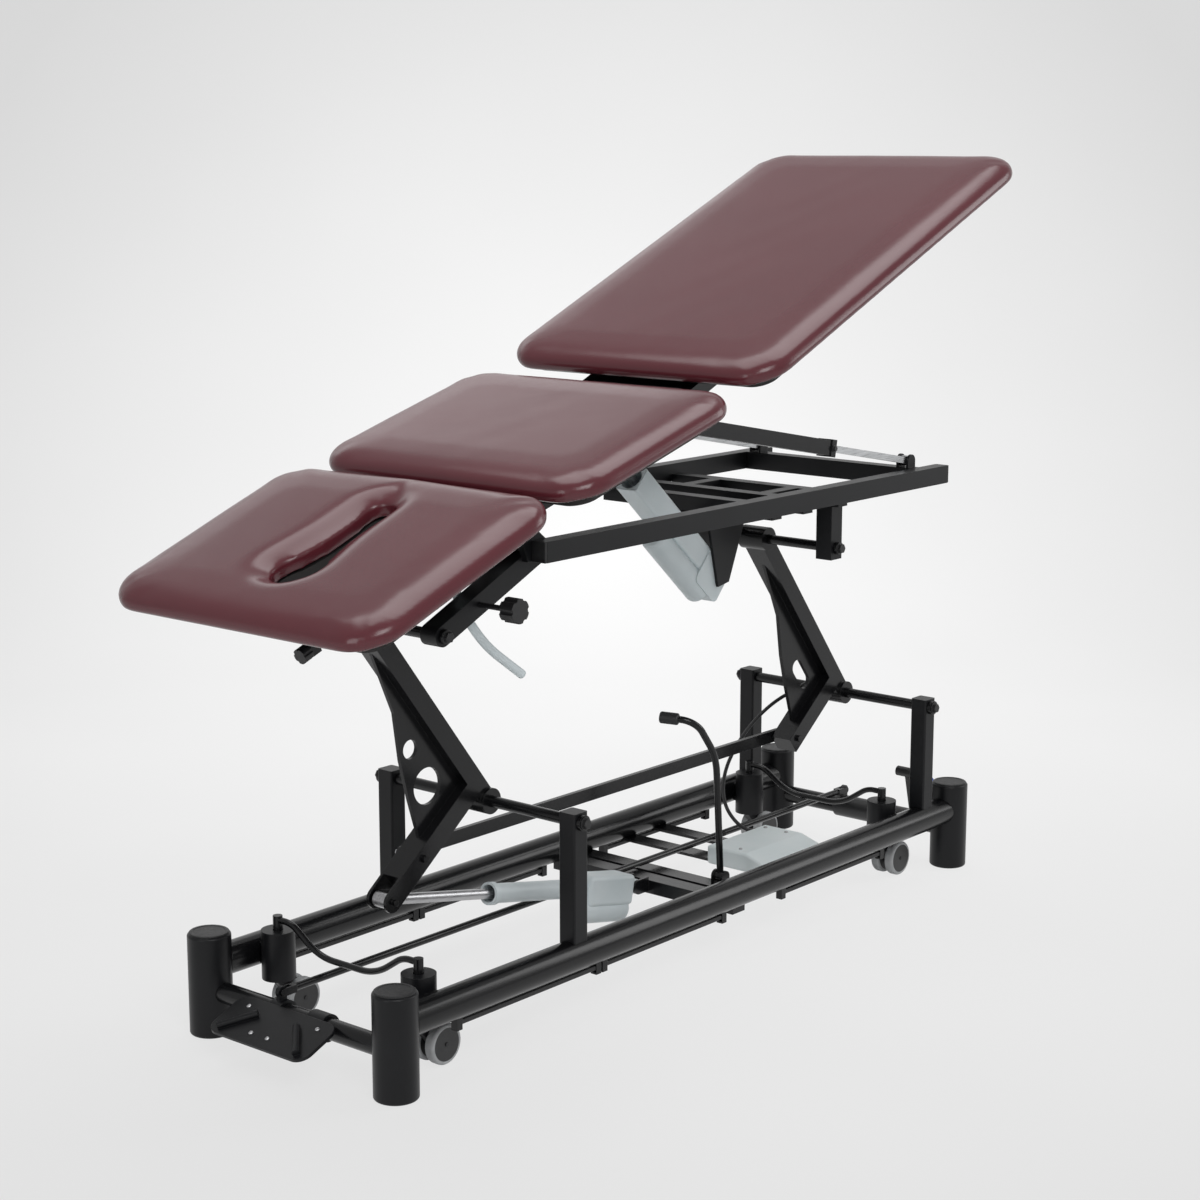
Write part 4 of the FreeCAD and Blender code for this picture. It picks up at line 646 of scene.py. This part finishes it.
def shaftClip(shaft, end, heading):
    # Collar on a shaft along Y, a strut to the lead's end and a sleeve round that end
    centre = Vector((shaft[0], end[1], shaft[1]))
    strut = Vector(end) - centre
    middle = centre + strut / 2
    return [(roundBar(0.0145, 0.010), centre, (0.0, 1.0, 0.0)), (roundBar(0.0038, strut.length), middle, strut),
            (roundBar(0.0064, 0.018), Vector(end), heading)]


armWay = (-0.61566, 0.0, 0.78801)
leadRoutes = {look["name"]: look["route"] for look in leads}
boot = ((0.0095, 0.0), (0.0095, 0.004), (0.0072, 0.006), (0.0056, 0.024), (0.0050, 0.025))
clips = (
    {"name": "baseClip", "body": "base",
     "bars": shaftClip((pivotXs[1], middleOf("pivot_shafts").z), leadRoutes["baseLead"][-1], (0.0319, -0.0153, 0.0123))
     + [(boot, (leadRoutes["baseLead"][0][0], boxHigh.y, leadRoutes["baseLead"][0][2]), (0.0, 1.0, 0.0))]},
    {"name": "topClip", "body": "top_frame",
     "bars": shaftClip((topXs[1], topPivotHeight), leadRoutes["topLead"][0], (-0.0301, -0.0040, -0.0089))
     + [(roundBar(0.0064, 0.016), leadRoutes["topLead"][-1], (-0.0281, 0.0, 0.0160))]},
    {"name": "armClips", "body": "foot_arm",
     "bars": [(roundBar(0.0064, 0.016), leadRoutes["armLead"][step], armWay) for step in (0, 4, 8)]})
for look in clips:
    addClips(look)
print("stage: clips")


# Studio: a pale sweep from floor to wall that glows with painted light, brightest round a middle, soft lamps and an
# even sky
def seenRays(n):
    # One for what the camera sees, directly or in gloss and glass, and nought for light that falls on the object
    rays = n.add("ShaderNodeLightPath")
    bent = n.math("MAXIMUM", rays.outputs["Is Glossy Ray"], rays.outputs["Is Transmission Ray"])
    return n.math("MAXIMUM", rays.outputs["Is Camera Ray"], bent)


def paintedGlowSweep(look):
    n = Nodes("paintedGlowSweep")
    cloud = n.noise(0.7, 2.0)
    tone = n.mix(n.ramp(cloud, 0.3, 0.7, 0.0, 1.0), look["dark"], look["light"])
    n.finish(tone, None, None, Roughness=0.9)
    # Painted light: for the camera and in reflections the sweep glows, brightest round a middle point and dimmer
    # further out
    glow = n.add("ShaderNodeEmission")
    flat = n.add("ShaderNodeMapping", vector_type="TEXTURE")
    flat.inputs["Location"].default_value = look["centre"]
    flat.inputs["Rotation"].default_value = (0.0, 0.0, math.radians(cameraLook["heading"]))
    flat.inputs["Scale"].default_value = look["spread"]
    n.join(n.place, flat.inputs["Vector"])
    away = n.add("ShaderNodeVectorMath", operation="LENGTH")
    n.join(flat.outputs["Vector"], away.inputs[0])
    fall = n.ramp(away.outputs["Value"], 0.0, 1.0, look["bright"], look["dim"])
    n.join(fall, glow.inputs["Strength"])
    n.join(tone, glow.inputs["Color"])
    glow.inputs["Color"].default_value = (1.0, 1.0, 1.0, 1.0)
    mix = n.add("ShaderNodeMixShader")
    n.join(n.math("MULTIPLY", seenRays(n), look["glow"]), mix.inputs[0])
    n.join(n.shader.outputs[0], mix.inputs[1])
    n.join(glow.outputs[0], mix.inputs[2])
    # Seen from behind, the wall is clear, so that it hides nothing from the other side
    side = n.add("ShaderNodeNewGeometry")
    clear = n.add("ShaderNodeBsdfTransparent")
    seen = n.add("ShaderNodeMixShader")
    n.join(side.outputs["Backfacing"], seen.inputs[0])
    n.join(mix.outputs[0], seen.inputs[1])
    n.join(clear.outputs[0], seen.inputs[2])
    n.join(seen.outputs[0], n.output.inputs["Surface"])
    return n.material


def addSweep(look):
    # Profile: floor, a round of the given radius and a wall; turned to face the camera
    arc = np.linspace(0.0, np.pi / 2, 25)
    run = np.concatenate(([-look["front"]], look["back"] + look["round"] * np.sin(arc), [look["back"] + look["round"]]))
    rise = np.concatenate(([0.0], look["round"] * (1.0 - np.cos(arc)), [look["wall"]]))
    side = np.linspace(-look["width"] / 2, look["width"] / 2, 5)
    heading = math.radians(cameraLook["heading"])
    along, across = np.meshgrid(run, side, indexing="ij")
    height = np.repeat(rise[:, None], len(side), axis=1)
    x = along * math.cos(heading) + across * math.sin(heading)
    y = along * math.sin(heading) - across * math.cos(heading)
    points = np.stack((x, y, height), axis=-1).reshape(-1, 3)
    sweep = addMesh("sweep", points.tolist(), gridFaces(len(run), len(side))[:, ::-1].tolist(), paintedGlowSweep(look))


# The sweep's painted glow runs from bright at its middle to dim further out
addSweep({"front": 9.0, "back": 2.4, "round": 3.0, "wall": 5.2, "width": 26.0, "glow": 0.86,
          "dark": (0.82, 0.82, 0.82), "light": (0.84, 0.84, 0.84), "centre": (2.7, 2.3, 0.2),
          "spread": (5.6, 2.9, 3.2), "bright": 1.31, "dim": 0.89})

world = bpy.data.worlds.new("studio")
scene.world = world
world.use_nodes = True
sky = world.node_tree.nodes["Background"]
sky.inputs["Color"].default_value = (1.0, 1.0, 1.0, 1.0)
rays = world.node_tree.nodes.new("ShaderNodeLightPath")
pale = world.node_tree.nodes.new("ShaderNodeMapRange")
pale.inputs["To Min"].default_value = 0.22
pale.inputs["To Max"].default_value = 0.52
bent = world.node_tree.nodes.new("ShaderNodeMath")
bent.operation = "MAXIMUM"
world.node_tree.links.new(rays.outputs["Is Camera Ray"], bent.inputs[0])
world.node_tree.links.new(rays.outputs["Is Glossy Ray"], bent.inputs[1])
world.node_tree.links.new(bent.outputs[0], pale.inputs["Value"])
world.node_tree.links.new(pale.outputs[0], sky.inputs["Strength"])

lamps = (
    {"name": "keyLamp", "place": (-2.6, -3.4, 3.6), "aim": (0.0, 0.0, 0.8), "size": (2.2, 2.6), "power": 90.0},
    {"name": "topLamp", "place": (0.4, 0.6, 4.6), "aim": (0.0, 0.0, 0.9), "size": (4.2, 2.6), "power": 92.0},
    {"name": "sideLamp", "place": (3.4, -2.6, 2.2), "aim": (0.0, 0.0, 0.6), "size": (1.6, 2.6), "power": 42.0},
    {"name": "backLamp", "place": (2.1, 4.05, 3.15), "aim": (-0.2, 0.0, 1.0), "size": (3.6, 1.1), "power": 7.0},
    {"name": "frontLamp", "place": (-4.4, -0.4, 1.4), "aim": (-0.4, 0.0, 0.6), "size": (1.4, 2.2), "power": 24.0})
for lamp in lamps:
    data = bpy.data.lights.new(lamp["name"], "AREA")
    data.shape = "RECTANGLE"
    data.size, data.size_y = lamp["size"]
    data.energy = lamp["power"]
    item = bpy.data.objects.new(lamp["name"], data)
    scene.collection.objects.link(item)
    item.location = lamp["place"]
    item.rotation_euler = (Vector(lamp["aim"]) - Vector(lamp["place"])).to_track_quat("-Z", "Y").to_euler()
print("stage: studio")
